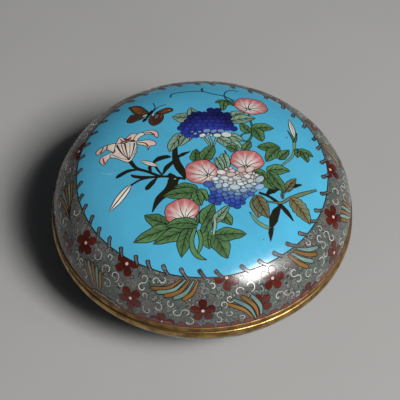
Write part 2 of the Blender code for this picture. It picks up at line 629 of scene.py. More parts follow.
@dataclass(frozen=True)
class EnamelFinish:
    """Enamel fired in cells, stoned level and polished. Each cell's colour is in the mesh."""

    name: str
    roughness: float = 0.16
    cloud: float = 0.10
    grain: float = 0.06
    pit_scale: float = 330.0
    pit_size: float = 0.10
    wave: float = 0.10
    specular: float = 0.5
    net: float = 0.0

    CLOUD_SCALE = 260.0
    GRAIN_SCALE = 3200.0
    PATCH_SCALE = 900.0
    POLISH_SCALE = 420.0
    WAVE_SCALE = 150.0
    WAVE_DEPTH = 0.0004
    NET_SCALE = 440.0
    NET_BREAKS = 1500.0
    LIGHT_RING = 0.30
    DARK_RING = 0.40
    DARK_SHARE = 0.55
    GLASS_IOR = 1.52

    def curled_net(self, bench: NodeBench) -> Socket:
        """Returns a tone for wires too fine to model: broken rings, light inside and dark outside."""
        distance = bench.distances(self.NET_SCALE)
        gate = bench.between(bench.noise(self.NET_BREAKS, 1.0), 0.40, 0.52, 0.0, 1.0)
        tones = []
        for reach, change in ((self.LIGHT_RING, self.net), (self.DARK_RING, -self.DARK_SHARE * self.net)):
            off = bench.combined("ABSOLUTE", bench.combined("SUBTRACT", distance, reach), 0.0)
            ring = bench.combined("MULTIPLY", bench.between(off, 0.04, 0.10, 1.0, 0.0), gate)
            tones.append(bench.between(ring, 0.0, 1.0, 1.0, 1.0 + change))
        return bench.combined("MULTIPLY", *tones)

    def material(self) -> bpy.types.Material:
        """Returns the material, with clouding, grain, pits and a faintly uneven polish."""
        bench = NodeBench(self.name)
        glaze = bench.nodes.new("ShaderNodeVertexColor")
        glaze.layer_name = GLAZE
        cloud = bench.varied(bench.noise(self.CLOUD_SCALE), 1.0 - self.cloud, 1.0 + self.cloud)
        grain = bench.varied(bench.noise(self.GRAIN_SCALE, 2.0), 1.0 - self.grain, 1.0 + self.grain)
        tone = bench.combined("MULTIPLY", cloud, grain)
        if self.net:
            tone = bench.combined("MULTIPLY", tone, self.curled_net(bench))
        body = bench.toned(glaze.outputs["Color"], tone)
        specks = bench.between(bench.distances(self.pit_scale), self.pit_size, self.pit_size * 0.5, 0.0, 1.0)
        patches = bench.between(bench.noise(self.PATCH_SCALE, 1.0), 0.60, 0.64, 0.0, 1.0)
        pits = bench.combined("MULTIPLY", specks, patches)
        low, high = self.roughness * 0.8, self.roughness * 1.3
        polish = bench.varied(bench.noise(self.POLISH_SCALE, 4.0), low, high)
        waves = bench.combined("SUBTRACT", bench.noise(self.WAVE_SCALE, 2.0), pits)
        bench.bump(waves, self.wave, self.WAVE_DEPTH)
        bench.feed(bench.shader, Base_Color=bench.blended(pits, body, PIT_BLACK), Roughness=polish,
                   IOR=self.GLASS_IOR, Specular_IOR_Level=self.specular)
        return bench.material


@dataclass(frozen=True)
class MetalFinish:
    """Worn metal, bright where it is rubbed and brown where it is tarnished."""

    name: str
    bright: Colour
    tarnish: Colour
    metallic: float
    roughness: float

    WORN_SCALE = 240.0
    SCRATCH_SCALE = 1800.0
    SCRATCH_STRETCH = (1.0, 1.0, 3.0)
    SCRATCH = 0.25
    SCRATCH_DEPTH = 0.00006

    def material(self) -> bpy.types.Material:
        """Returns the material, with tarnish in patches, fine scratches and uneven gloss."""
        bench = NodeBench(self.name)
        patches = bench.between(bench.noise(self.WORN_SCALE, 6.0), 0.38, 0.62, 0.0, 1.0)
        fine = bench.noise(self.SCRATCH_SCALE, 2.0, self.SCRATCH_STRETCH)
        share = bench.combined("MULTIPLY", patches, bench.varied(fine, 0.6, 1.0))
        gloss = bench.between(share, 0.0, 1.0, self.roughness, self.roughness * 1.5)
        bench.bump(fine, self.SCRATCH, self.SCRATCH_DEPTH)
        bench.feed(bench.shader, Base_Color=bench.blended(share, self.bright, self.tarnish), Roughness=gloss,
                   Metallic=self.metallic)
        return bench.material


@dataclass(frozen=True)
class FloorFinish:
    """Plain pale paper."""

    name: str = "pale_paper"
    colour: Colour = (0.36, 0.36, 0.355)
    roughness: float = 0.85
    shade: float = 0.03

    def material(self) -> bpy.types.Material:
        """Returns the material, with a faint unevenness."""
        bench = NodeBench(self.name)
        share = bench.varied(bench.noise(9.0, 4.0), 0.0, 1.0)
        darker, paler = scaled(self.colour, 1.0 - self.shade), scaled(self.colour, 1.0 + self.shade)
        body = bench.blended(share, darker, paler)
        bench.feed(bench.shader, Base_Color=body, Roughness=self.roughness)
        return bench.material


GILT = MetalFinish("worn_gilt_brass", (0.50, 0.315, 0.115), (0.17, 0.090, 0.030), 1.0, 0.30)
DULL_GILT = MetalFinish("tarnished_gilt_brass", (0.36, 0.210, 0.075), (0.11, 0.060, 0.024), 0.9, 0.46)
DARK_WIRE = MetalFinish("dark_wire", (0.022, 0.018, 0.013), (0.008, 0.007, 0.006), 0.5, 0.38)
BRIGHT_WIRE = MetalFinish("bright_wire", (0.72, 0.70, 0.64), (0.36, 0.34, 0.30), 0.25, 0.34)
DIM_WIRE = MetalFinish("dim_wire", (0.26, 0.26, 0.24), (0.10, 0.10, 0.09), 0.3, 0.40)
ENAMEL = EnamelFinish("cell_enamel")
GROUND_ENAMEL = EnamelFinish(
    "ground_enamel", roughness=0.19, cloud=0.025, grain=0.03, pit_size=0.085, wave=0.05)
BORDER_ENAMEL = EnamelFinish(
    "border_enamel", roughness=0.19, cloud=0.16, grain=0.32, pit_scale=520.0, pit_size=0.16, wave=0.12,
    specular=0.48, net=1.35)
LINING_ENAMEL = EnamelFinish("lining_enamel", roughness=0.24, cloud=0.16, pit_size=0.14, wave=0.2)


# The finishes of the tiles that aren't plain enamel
TILE_FINISHES = {
    Tile.DARK_WIRE: DARK_WIRE,
    Tile.BRIGHT_WIRE: BRIGHT_WIRE,
    Tile.DIM_WIRE: DIM_WIRE,
    Tile.PANEL: GROUND_ENAMEL,
    Tile.BORDER: BORDER_ENAMEL,
}


@dataclass(frozen=True)
class Workshop:
    """Makes pieces and hands them to the frame. It makes each finish once."""

    finishes: dict[str, bpy.types.Material] = field(default_factory=dict)

    ALIKE = 0.6

    def material(self, finish: EnamelFinish | MetalFinish | FloorFinish) -> bpy.types.Material:
        """Returns a finish's material, made at its first use."""
        if finish.name not in self.finishes:
            self.finishes[finish.name] = finish.material()
        return self.finishes[finish.name]

    def hand_over(self, obj: bpy.types.Object, slot: str, nodes: Sequence[str] = ()) -> None:
        """Gives a finished piece its body, and hides the frame's nodes that it stands for.

        Args:
            obj: The piece.
            slot: Not used.
            nodes: The frame's nodes that the piece replaces.
        """
        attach(obj, "root")
        if nodes:
            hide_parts(*nodes)
        LOG.info("%s: %d triangles", obj.name, len(obj.data.loops) - 2 * len(obj.data.polygons))

    def skin(self, drawing: Drawing, owner: str, ground_slot: str) -> None:
        """Makes the pieces of a skin from its drawing.

        Args:
            drawing: The finished drawing.
            owner: What the names of the pieces start with.
            ground_slot: The material slot of the ground's cells.
        """
        for tile, (spots, triangles, colours) in drawing.cut().items():
            obj = self.tiles(drawing.form, f"{owner}_{tile.value}", tile, spots, triangles, colours)
            ground = tile in (Tile.PANEL, Tile.BORDER)
            slot = "cell_wire" if tile in WIRES else ground_slot if ground else "cell_enamel"
            self.hand_over(obj, slot)

    def tiles(self, form: ShellForm, name: str, tile: Tile, spots: np.ndarray, triangles: np.ndarray,
              colours: np.ndarray) -> bpy.types.Object:
        """Bends cells over their shell and gives them their thickness.

        Args:
            form: The shell's form.
            name: The piece's name.
            tile: What the cells are filled with.
            spots: The flat points.
            triangles: Three points for each triangle.
            colours: A colour for each corner of each triangle.

        Returns:
            The piece, closed, with smooth shading taken from the shell's own form.
        """
        lift = 0.0 if tile in WIRES else -WIRE_PROUD
        if form.up < 0.0:
            triangles = triangles[:, ::-1]
            colours = colours.reshape(-1, 3, 3)[:, ::-1].reshape(-1, 3)
        mesh = bpy.data.meshes.new(name)
        mesh.from_pydata(form.bend(spots, lift).tolist(), [], triangles.tolist())
        glaze = mesh.color_attributes.new(GLAZE, "FLOAT_COLOR", "CORNER")
        rows = np.concatenate([colours, np.ones((len(colours), 1))], axis=1)
        glaze.data.foreach_set("color", rows.ravel())
        mesh.materials.append(self.material(TILE_FINISHES.get(tile, ENAMEL)))
        obj = bpy.data.objects.new(name, mesh)
        bpy.context.collection.objects.link(obj)
        select_only(obj)
        wall = obj.modifiers.new("thickness", "SOLIDIFY")
        wall.thickness = SKIN + lift
        wall.offset = -1.0
        bpy.ops.object.modifier_apply(modifier=wall.name)
        self.shade_as(form, obj)
        return obj

    def shade_as(self, form: ShellForm, obj: bpy.types.Object) -> None:
        """Shades the outer faces of a piece as smoothly as the shell that it lies on."""
        mesh = obj.data
        mesh.shade_smooth()
        count = len(mesh.polygons)
        faces = np.empty(count * 3)
        mesh.polygons.foreach_get("normal", faces)
        sizes = np.empty(count, dtype=int)
        mesh.polygons.foreach_get("loop_total", sizes)
        corners = np.empty(len(mesh.loops), dtype=int)
        mesh.loops.foreach_get("vertex_index", corners)
        places = np.empty(len(mesh.vertices) * 3)
        mesh.vertices.foreach_get("co", places)
        smooth = form.normals(places.reshape(-1, 3))[corners]
        own = np.repeat(faces.reshape(-1, 3), sizes, axis=0)
        outer = np.sum(smooth * own, axis=1, keepdims=True) > self.ALIKE
        mesh.normals_split_custom_set(np.where(outer, smooth, own).tolist())


LID_FORM = ShellForm(ENAMEL_RADIUS, LID_HIGH.z - SEAM, LID_FULLNESS, SEAM, 1.0)
BOWL_FORM = ShellForm(ENAMEL_RADIUS, SEAM - BOWL_LOW.z, BOWL_FULLNESS, SEAM, -1.0)


@dataclass
class PlanView:
    """A drawing as it is seen from straight above, in millimetres."""

    drawing: Drawing
    chance: random.Random

    def place(self, points: Outline) -> Outline:
        """Lays points that are seen from above on the flat drawing."""
        seen = np.abs(points)
        run = np.interp(seen * MM, self.drawing.form.reach, self.drawing.form.run)
        return points * run / np.maximum(seen, TINY)

    def add(self, outline: Outline, tile: Tile = Tile.DARK_WIRE, paint: Paint = BARE_WIRE) -> None:
        """Adds an outline that is seen from above."""
        self.drawing.add(self.place(outline), tile, paint)

    def walled(self, outline: Outline, tile: Tile, paint: Paint, wire: float = Drawing.WIRE) -> None:
        """Adds an outline that is seen from above, with a dark wire all round it."""
        self.drawing.walled(self.place(outline), tile, paint, wire)

    def stroke(self, line: Outline, start: float, end: float, tile: Tile = Tile.DARK_WIRE,
               paint: Paint = BARE_WIRE) -> None:
        """Adds a band along a line that is seen from above."""
        self.drawing.stroke(self.place(line), start, end, tile, paint)


class LeafKind(Enum):
    """Kinds of leaf and petal: the tile, and the colours at the midrib and at the rim."""

    GREEN = (Tile.LEAF, DEEP_GREEN, GREEN)
    PALE = (Tile.PALE_LEAF, SAGE, PALE_GREEN)
    AUTUMN = (Tile.AUTUMN_LEAF, RUST, OLIVE)
    BUD = (Tile.LILY, CREAM, PETAL_WHITE)


@dataclass(frozen=True)
class Leaf:
    """A leaf or petal between its base and its tip, in two halves along a midrib wire."""

    base: complex
    tip: complex
    width: float
    bend: float = 0.0
    kind: LeafKind = LeafKind.GREEN
    veins: int = 3
    notches: float = 2.0
    rib: float = 0.30

    STEPS = 16
    WIRE = 0.34
    BROADEST = 0.391
    RAGGED = 0.075
    TONES = (0.86, 1.16)
    SHADED_HALF = (0.78, 0.95)
    VEINED = 0.60
    VEIN_ENDS = (0.25, 0.13)

    def shares(self) -> np.ndarray:
        """Returns places along the midrib from 0 to 1, closer together towards both ends."""
        return 0.5 - 0.5 * np.cos(np.linspace(0.0, math.pi, self.STEPS + 1))

    def spine(self) -> Outline:
        """Returns the midrib from the base to the tip."""
        share = self.shares()
        middle = self.base + (self.tip - self.base) * (0.5 + 1j * self.bend)
        return self.base * (1 - share) ** 2 + middle * 2 * share * (1 - share) + self.tip * share**2

    def half_widths(self, phase: float) -> np.ndarray:
        """Returns the width of one half at each point of the midrib, with a rim as ragged as its kind's."""
        share = self.shares()
        swell = share**0.55 * (1.0 - share) ** 0.85 / self.BROADEST
        swell *= 1.0 + self.RAGGED * np.sin(FULL_TURN * self.notches * share + phase)
        return swell * self.width / 2.0

    def draw(self, view: PlanView) -> None:
        """Draws the leaf, with a tone and a rim of its own."""
        tile, deep, light = self.kind.value
        line = self.spine()
        left = sides(line)
        halves = [self.half_widths(view.chance.uniform(0.0, FULL_TURN)) for _ in range(2)]
        rim = [line[:1], (line - left * halves[1])[1:], (line + left * halves[0])[1:-1][::-1]]
        view.add(np.concatenate(rim))
        tone = view.chance.uniform(*self.TONES)
        ends = view.place(np.array([self.base, self.tip]))
        for half, side, shade in zip(halves, (1.0, -1.0), (1.0, view.chance.uniform(*self.SHADED_HALF))):
            inner = line + side * left * np.minimum(self.rib / 2.0, 0.20 * half)
            outer = line + side * left * (half - np.minimum(self.WIRE, 0.42 * half))
            paint = self.across(ends, scaled(deep, tone * shade), scaled(light, tone * shade))
            view.add(np.concatenate([inner[1:-1], outer[1:-1][::-1]]), tile, paint)
        self.draw_veins(view, line, halves)

    def across(self, ends: Outline, deep: Colour, light: Colour) -> Paint:
        """A paint that runs from the midrib out to the rim, and a little from the base to the tip.

        Args:
            ends: The base and the tip in the drawing.
            deep: The colour at the midrib.
            light: The colour at the rim.

        Returns:
            The paint.
        """
        axis = (ends[1] - ends[0]) / abs(ends[1] - ends[0])
        length = abs(ends[1] - ends[0])

        def paint(spot: complex) -> Colour:
            """Returns the leaf's colour at a place."""
            off = (spot - ends[0]) * axis.conjugate()
            patch = 0.22 * math.sin(1.9 * spot.real + 2.3 * spot.imag)
            patch *= math.sin(2.1 * spot.imag - 1.3 * spot.real)
            share = 1.05 * abs(off.imag) / (self.width / 2.0) + 0.30 * off.real / length + patch
            return mixed(deep, light, share)

        return paint

    def draw_veins(self, view: PlanView, line: Outline, halves: Sequence[np.ndarray]) -> None:
        """Draws the side veins, from the midrib forwards to near the rim."""
        share = self.shares()
        left = sides(line)
        for half, side in zip(halves, (1.0, -1.0)):
            for vein in range(self.veins):
                start = 0.10 + self.VEINED * (vein + view.chance.uniform(-0.2, 0.35)) / self.veins
                reach = start + view.chance.uniform(0.14, 0.22)
                root = np.interp(start, share, line.real) + 1j * np.interp(start, share, line.imag)
                ahead = np.interp(reach, share, line.real) + 1j * np.interp(reach, share, line.imag)
                index = int(np.searchsorted(share, reach))
                end = ahead + side * left[index] * half[index] * view.chance.uniform(0.55, 0.80)
                view.stroke(np.linspace(root, end, 4), *self.VEIN_ENDS)


@dataclass(frozen=True)
class Stem:
    """A stem, twig or lance leaf: a band along a smooth line, with a width at each of its points."""

    points: tuple[complex, ...]
    widths: tuple[float, ...]
    tile: Tile = Tile.DARK_LEAF
    colour: Colour = BLACK_GREEN
    wire: float = 0.22

    NARROWEST = 0.12

    def draw(self, view: PlanView) -> None:
        """Draws the stem, with a wire on each side where it is wide enough for one."""
        line = smooth_line(self.points, 7)
        widths = widths_along(line, np.linspace(0.0, 1.0, len(self.widths)), self.widths)
        view.add(ribbon(line, widths))
        core = widths - 2.0 * self.wire
        wide = np.flatnonzero(core > self.NARROWEST)
        if len(wide) > 2:
            inside = np.zeros(len(line), dtype=bool)
            inside[wide[0] : wide[-1] + 1] = True
            both_sides = np.concatenate([inside, inside[::-1]])
            view.add(ribbon(line, np.maximum(core, 0.06))[both_sides], self.tile, flat(self.colour))


@dataclass(frozen=True)
class MorningGlory:
    """An open trumpet flower, seen from the side of its mouth."""

    centre: complex
    across: float
    up: float
    turn: float
    throat: complex

    LOBES = 5
    POINTS = 60
    RAYS = 9
    LONG_RAY = (0.74, 0.46)
    SHORT_RAY = (0.52, 0.26)
    RINGS = (0.93, 0.85, 0.77, 0.68, 0.58, 0.46, 0.32, 0.16)

    def rim(self, share: float) -> Outline:
        """Returns the flower's outline, drawn in towards its throat by a share of its size."""
        angles = np.arange(self.POINTS) * FULL_TURN / self.POINTS
        wave = 1.0 + 0.030 * np.cos(self.LOBES * angles + 0.6) + 0.016 * np.cos(11.0 * angles)
        shape = self.across * np.cos(angles) + 1j * self.up * np.sin(angles)
        return self.throat + (self.centre + shape * wave * turned_by(self.turn) - self.throat) * share

    def petals(self, view: PlanView) -> Paint:
        """Returns the paint: white at the throat, streaked, and rose towards the rim."""
        throat = view.place(np.array([self.throat]))[0]
        spokes = view.place(self.rim(1.0)) - throat
        angles = np.angle(spokes)
        order = np.argsort(angles)
        lengths = np.abs(spokes)[order]
        angles = angles[order]

        def paint(spot: complex) -> Colour:
            """Returns the petal's colour at a place."""
            angle = float(np.angle(spot - throat))
            share = abs(spot - throat) / float(np.interp(angle, angles, lengths, period=FULL_TURN))
            streak = 0.10 * math.sin(angle * 15.0) + 0.06 * math.sin(angle * 37.0 + 1.0)
            blush = min(max((share + streak - 0.28) / 0.56, 0.0), 1.0)
            return mixed(PETAL_WHITE, mixed(BLUSH, ROSE, blush**1.6), blush**0.8)

        return paint

    def draw(self, view: PlanView) -> None:
        """Draws the flower, with dark rays from its throat."""
        view.walled(self.rim(1.0), Tile.PINK, self.petals(view), 0.28)
        for share in self.RINGS:
            view.drawing.dots.extend(view.place(self.rim(share)))
        for ray in range(self.RAYS):
            reach, width = self.SHORT_RAY if ray % 2 else self.LONG_RAY
            end = self.rim(reach)[int((ray + 0.35) * self.POINTS / self.RAYS) % self.POINTS]
            start = self.throat + 0.08 * (end - self.throat)
            view.stroke(bowed(start, end, 0.05, 4), width, 0.15)


class FloretTones(Enum):
    """Colours of a head of florets, from its top to its bottom."""

    PALE_HEAD = (
        FLORET_PINK, FLORET_PINK, mixed(FLORET_PINK, FLORET_WHITE, 0.4), FLORET_WHITE,
        mixed(FLORET_WHITE, FLORET_PALE, 0.25), mixed(FLORET_PALE, FLORET_BLUE, 0.25),
        mixed(FLORET_PALE, FLORET_BLUE, 0.85), FLORET_BLUE, scaled(FLORET_BLUE, 0.8),
    )
    COBALT_HEAD = (
        scaled(COBALT, 0.8), COBALT, mixed(COBALT, BRIGHT_COBALT, 0.75), BRIGHT_COBALT,
        mixed(COBALT, BRIGHT_COBALT, 0.8),
    )


@dataclass(frozen=True)
class Floret:
    """One round petal of a head: its middle, half its length and width, and its turn in degrees."""

    spot: complex
    long: float
    short: float
    turn: float = 0.0


@dataclass(frozen=True)
class Hydrangea:
    """A round head of many florets, with dark rails between them."""

    border: tuple[complex, ...]
    tones: FloretTones
    lean: float
    dip: float
    soft_rails: bool
    backing: float
    florets: tuple[Floret, ...] = ()

    ROW = 2.0
    STEP = 2.5
    OVERLAP = 1.12
    BACKING_SHADE = 0.62
    SMALLEST_FULL = 0.9
    TONES = (0.80, 1.20)

    def tone(self, share: float) -> Colour:
        """Returns the colour at a share of the height, from the top down."""
        steps = self.tones.value
        spot = min(max(share, 0.0), 1.0) * (len(steps) - 1)
        index = min(int(spot), len(steps) - 2)
        return mixed(steps[index], steps[index + 1], spot - index)

    def share(self, loop: Outline, spot: complex) -> float:
        """Returns how far down the head's colours a place is. The sides are further down than the middle."""
        low, high = float(loop.imag.min()), float(loop.imag.max())
        left, right = float(loop.real.min()), float(loop.real.max())
        off = (spot.real - (left + right) / 2.0) / ((right - left) / 2.0)
        return (high - spot.imag) / (high - low) - self.lean * off + self.dip * off * off

    def draw(self, view: PlanView) -> None:
        """Draws the backing cell, then the florets from the bottom up."""
        loop = smooth_loop(self.border, 8)
        view.walled(inset(loop, self.backing), Tile.FLORET,
                    lambda spot: scaled(self.tone(self.share(loop, spot)), self.BACKING_SHADE), 0.2)
        for floret in reversed(self.florets or self.packed(loop, view.chance)):
            share = self.share(loop, floret.spot) + view.chance.uniform(-0.05, 0.05)
            colour = scaled(self.tone(share), view.chance.uniform(*self.TONES))
            long, short = self.OVERLAP * floret.long, self.OVERLAP * floret.short
            corners = 14 if floret.long > self.SMALLEST_FULL else 10
            shape = oval(floret.spot, long, short, floret.turn, corners)
            heart = view.place(np.array([floret.spot]))[0]
            paint = around(heart, floret.long, scaled(colour, 1.12), scaled(colour, 0.84))
            if self.soft_rails:
                view.add(shape, Tile.FLORET, flat(scaled(colour, 0.42)))
                view.drawing.add(inset(view.place(shape), 0.24), Tile.FLORET, paint)
            else:
                view.walled(shape, Tile.FLORET, paint, 0.20)

    def packed(self, loop: Outline, chance: random.Random) -> list[Floret]:
        """Returns florets in uneven rows that fill an outline, with small ones in their gaps."""
        low, high = float(loop.imag.min()), float(loop.imag.max())
        rows = round((high - low) / self.ROW)
        height = (high - low) / rows
        found = []
        for row in range(rows):
            level = high - (row + 0.5) * height
            left, right = extent(loop, level)
            count = max(round((right - left) / self.STEP + 0.5 * (row % 2)), 1)
            step = (right - left) / count
            for column in range(count):
                spot = complex(left + (column + 0.5) * step, level)
                spot += complex(chance.uniform(-0.3, 0.3), chance.uniform(-0.25, 0.25))
                long, short = step * chance.uniform(0.50, 0.66), height * chance.uniform(0.55, 0.72)
                found.append(Floret(spot, long, short, chance.uniform(-40.0, 40.0)))
                if chance.random() < 0.4 and 0 < column < count - 1:
                    found.append(Floret(spot + complex(0.5 * step, -0.5 * height), 0.75, 0.6))
        return found


def extent(loop: Outline, level: float) -> tuple[float, float]:
    """Returns how far left and right an outline reaches at a level."""
    following = np.roll(loop, -1)
    crosses = (loop.imag > level) != (following.imag > level)
    first, second = loop[crosses], following[crosses]
    meets = first.real + (level - first.imag) * (second.real - first.real) / (second.imag - first.imag)
    return float(meets.min()), float(meets.max())


class LidPicture(PlanView):
    """The flowers, leaves and butterfly on the lid's turquoise panel."""

    PALE = LeafKind.PALE
    TENDRIL = (Tile.LEAF, TENDRIL_TEAL, 0.16)
    SAGE_STEM = (Tile.PALE_LEAF, SAGE, 0.2)
    SEPAL = (Tile.LEAF, DEEP_GREEN, 0.3)
    STALK = (Tile.PALE_LEAF, PALE_GREEN, 0.26)
    GREEN_STEM = (Tile.LEAF, GREEN, 0.3)
    THIN_STEM = (Tile.LEAF, DEEP_GREEN, 0.18)

    # Thin tendrils at the top, and the stem that loops down on the right
    TENDRILS = (
        Stem((-12.8+36.2j, -12.3+38.6j, -9+39.6j, -1+40.2j, 4+38.2j, 9+36.6j, 13+33.5j),
             (0.7, 0.5, 0.5, 0.6), *TENDRIL),
        Stem((0.2+40.2j, -0.3+41.6j, 0.3+43j), (0.8, 0.9, 0.5), *TENDRIL),
        Stem((10.2+33.5j, 9.2+35.6j, 8.8+38j, 9.8+40.6j, 12.4+42j, 14.4+41.2j),
             (0.8, 0.6, 0.5, 0.4), *TENDRIL),
        Stem((18.2+26.5j, 18.9+22j, 19.5+17j, 18.9+12.2j, 17+9.9j, 15+11.4j, 15.6+13.6j, 18.4+14.8j),
             (0.9, 1.0, 0.9, 0.6), *THIN_STEM),
    )
    # Near-black stems and lance leaves behind the lily and beside the flowers
    DARK_BRANCH = (
        Stem((-27.6+0.6j, -25-3.2j, -21-5.1j, -16-7.6j, -12-8.1j, -6.2-9.3j), (1.7, 1.3, 1.1, 1.1)),
        Stem((-24.2-4j, -28-4.2j, -31.4-6j, -32.7-7j), (0.6, 1.6, 1.7, 0.6)),
        Stem((-17-7.9j, -22-7.9j, -25.6-7.1j, -27-6.2j), (0.7, 1.5, 1.4, 0.6)),
        Stem((-15.6-8j, -20-8.2j, -23.6-9.1j, -27.2-11.4j), (1.0, 0.9, 0.8)),
        Stem((-17-8.4j, -18.7-10.6j, -20.6-13j, -21.3-13.6j), (0.6, 2.0, 1.9, 0.6)),
        Stem((-18.2-1.8j, -16.6-5j, -15-7.2j), (1.0, 0.9, 0.8)),
        Stem((-19.6-2.2j, -19.9-3.6j, -19.4-5.4j), (1.2, 1.5, 0.8)),
        Stem((-18.9-1.2j, -16.4+0.9j, -13.4+1.7j, -11.9+1.4j), (0.9, 2.3, 1.8, 0.5)),
        Stem((-14.8-6.8j, -13.4-3.6j, -10.4-0.2j), (0.7, 2.0, 1.4)),
        Stem((-9.6+1.2j, -7.4+2.8j, -4.6+4.2j), (0.9, 1.7, 0.4)),
        Stem((-10.2+7.6j, -10.4+3j, -9.6-1.4j, -8-5j, -5.8-8.6j), (1.5, 2.6, 3.3, 2.2)),
        Stem((-12.4-6.4j, -10.9-9.6j, -12.2-14j, -16.2-18.4j, -18.5-23.8j), (0.9, 4.2, 3.8, 2.7, 0.4)),
        Stem((-13.2-7.4j, -10.4-9.4j, -8.2-9j), (0.8, 2.6, 0.8)),
    )
    BUDS = (
        Leaf(-27-11j, -34.7-21.6j, 3.5, 0.02, LeafKind.BUD, 0, 1.0, 0.42),
        Leaf(-16.8-2.7j, -23.7+0.4j, 2.3, 0.03, LeafKind.BUD, 0, 1.0, 0.12),
    )
    # The slender bud, the twig, the black leaves and the brown leaves on the right
    RIGHT_SPRAY = (
        Stem((35.9+14j, 35.6+8j, 34.2+3.6j, 30.2-1.2j), (1.6, 1.1, 1.2, 0.9), *SAGE_STEM),
        Stem((21.2-14.8j, 25-16.2j, 28.6-18.8j, 31.6-22j, 34-25.2j), (1.0, 1.2, 1.5, 2.0, 0.5)),
        Stem((22-18.3j, 26.5-18.6j, 30-18.2j, 33-15.8j, 37.2-13.4j, 43.6-9.6j),
             (0.9, 0.9, 1.3, 1.4, 1.9, 0.9), Tile.AUTUMN_LEAF, scaled(OLIVE, 0.9), 0.26),
        Stem((28.8-12.2j, 26.4-13.2j, 24-15.6j), (1.4, 3.2, 0.8)),
        Stem((33.2-11.2j, 35-9.9j, 37.8-8.8j), (0.8, 2.0, 0.5)),
        Stem((29.3-19.4j, 27.6-22.4j, 26.4-26j, 25.2-29.8j), (0.9, 2.9, 3.4, 1.0)),
        Stem((17.6-23.6j, 19.8-26.8j, 22.6-28.8j, 26.6-29.9j), (0.5, 1.5, 1.7, 1.2), *SAGE_STEM),
        Stem((25.6-29.2j, 25.3-31.4j, 25.2-34.4j), (1.6, 1.9, 0.4)),
        Leaf(36.1+15.2j, 34.3+26.2j, 2.4, -0.02, LeafKind.BUD, 0, 1.0, 0.12),
        Leaf(31.2-13.4j, 35.8-6.2j, 3.6, 0.06, LeafKind.AUTUMN, 3, 4.0),
        Leaf(19-17.2j, 20.6-26j, 5.2, 0.16, LeafKind.AUTUMN, 4, 4.5),
        Leaf(20.4-15.8j, 24.9-25.6j, 5.8, -0.10, LeafKind.AUTUMN, 4, 4.5),
        Leaf(33.2-15.6j, 40.4-25j, 6.4, 0.06, LeafKind.AUTUMN, 4, 5.0),
        Leaf(30.2-16.8j, 30-13j, 1.5, 0.0, LeafKind.AUTUMN, 0),
        Stem((35.9+12.2j, 34.9+15.4j, 33.4+18.6j), (1.1, 1.2, 0.3), *SEPAL),
        Stem((36+12.2j, 36.7+15j, 37.2+18.2j), (1.1, 1.2, 0.3), *SEPAL),
    )
    # Leaves round the cobalt head and down the right side
    UPPER_LEAVES = (
        Leaf(-4.6+22.4j, -12+23.4j, 5.8, 0.06, PALE),
        Leaf(-3+22.6j, -4.5+28.8j, 4.4, 0.10, PALE, 2),
        Leaf(-6+13.6j, -12.6+3.8j, 5.4, -0.20, PALE),
        Leaf(-9.6+12.7j, -3.8+10.6j, 5.0, -0.1, PALE, 2),
        Leaf(-6.2+13.4j, -9+7j, 4.0, 0.12, PALE, 2),
        Leaf(10.2+22.4j, 17.4+26.8j, 4.6, 0.12, PALE, 2),
        Leaf(11+20.6j, 21.2+23.4j, 5.2, 0.10, PALE),
        Leaf(6.2+11.8j, 13.6+6.6j, 4.8, -0.10, PALE),
        Leaf(9.8+13.2j, 16.2+9.8j, 4.0, 0.06, PALE, 2),
        Leaf(10.8+9.8j, 15.2+5.4j, 3.8, 0.10, PALE, 2),
        Leaf(18.9+14.6j, 15+20.2j, 4.2, 0.12),
        Leaf(19.6+17j, 28.2+18.4j, 5.2, 0.16),
        Leaf(20+17.4j, 23.2+10.2j, 5.2, 0.10),
        Leaf(30.2+6.8j, 21+7.2j, 5.6, -0.12),
        Leaf(29.9+7.8j, 24.4+0j, 5.4, -0.10),
        Leaf(29.2+1.8j, 33.8+7.6j, 4.0, 0.06, veins=2),
        Leaf(36.9+9.2j, 36.6+4j, 3.0, 0.05, veins=2),
        Leaf(37.2+7.6j, 43.2+6.4j, 4.2, 0.20, veins=2),
        Leaf(38.6+7.8j, 40.7+2.6j, 3.4, 0.10, veins=2),
        Stem((0.2+12j, 1.8+9.4j, 3.2+7j), (1.1, 0.9), *STALK),
        Stem((2.6+12j, 3.4+9.4j, 3.8+7j), (1.1, 0.9), *STALK),
        Stem((5.8+12j, 5+9.4j, 4.3+7j), (1.1, 0.9), *STALK),
        Stem((8.6+4.9j, 9.6+1.6j, 10.8-2.6j), (0.5, 0.9, 0.6), *THIN_STEM),
    )
    # Leaves between the flowers, and the upper flower with its small leaves
    UPPER_FLOWER = (
        Leaf(-2.6-1.2j, -2.2+5.6j, 4.4, 0.04),
        Leaf(0.4-0.6j, 4.6+7.6j, 5.8, 0.05),
        Leaf(7.8+3.4j, 9.6-4.8j, 4.0, 0.06, PALE, 2),
        Leaf(5.4+1.4j, 8.4-5.4j, 3.6, -0.05, PALE, 2),
        Leaf(13.6+5j, 8.8+6.8j, 3.8, -0.06, veins=2),
        Leaf(15.8+4.6j, 19+10.2j, 3.6, 0.05, veins=2),
        Leaf(19.6-5j, 25.6-8.2j, 4.4, 0.10, veins=2),
        Leaf(24.4-4.6j, 33.6-3.4j, 5.2, 0.18),
        Leaf(22.4-5j, 27.6-13j, 6.0, -0.10),
        Leaf(25-4.6j, 31.3-14.2j, 4.8, 0.06),
        Leaf(9+33.4j, 5+31.8j, 2.6, -0.10, veins=0),
        Leaf(9.2+34.2j, 8.4+26.8j, 3.6, -0.10, veins=2),
        Leaf(9.8+33.6j, 13+30j, 3.0, 0.10, veins=2),
        MorningGlory(19.4+31.2j, 6.8, 5.5, -12.0, 18+28.6j),
    )
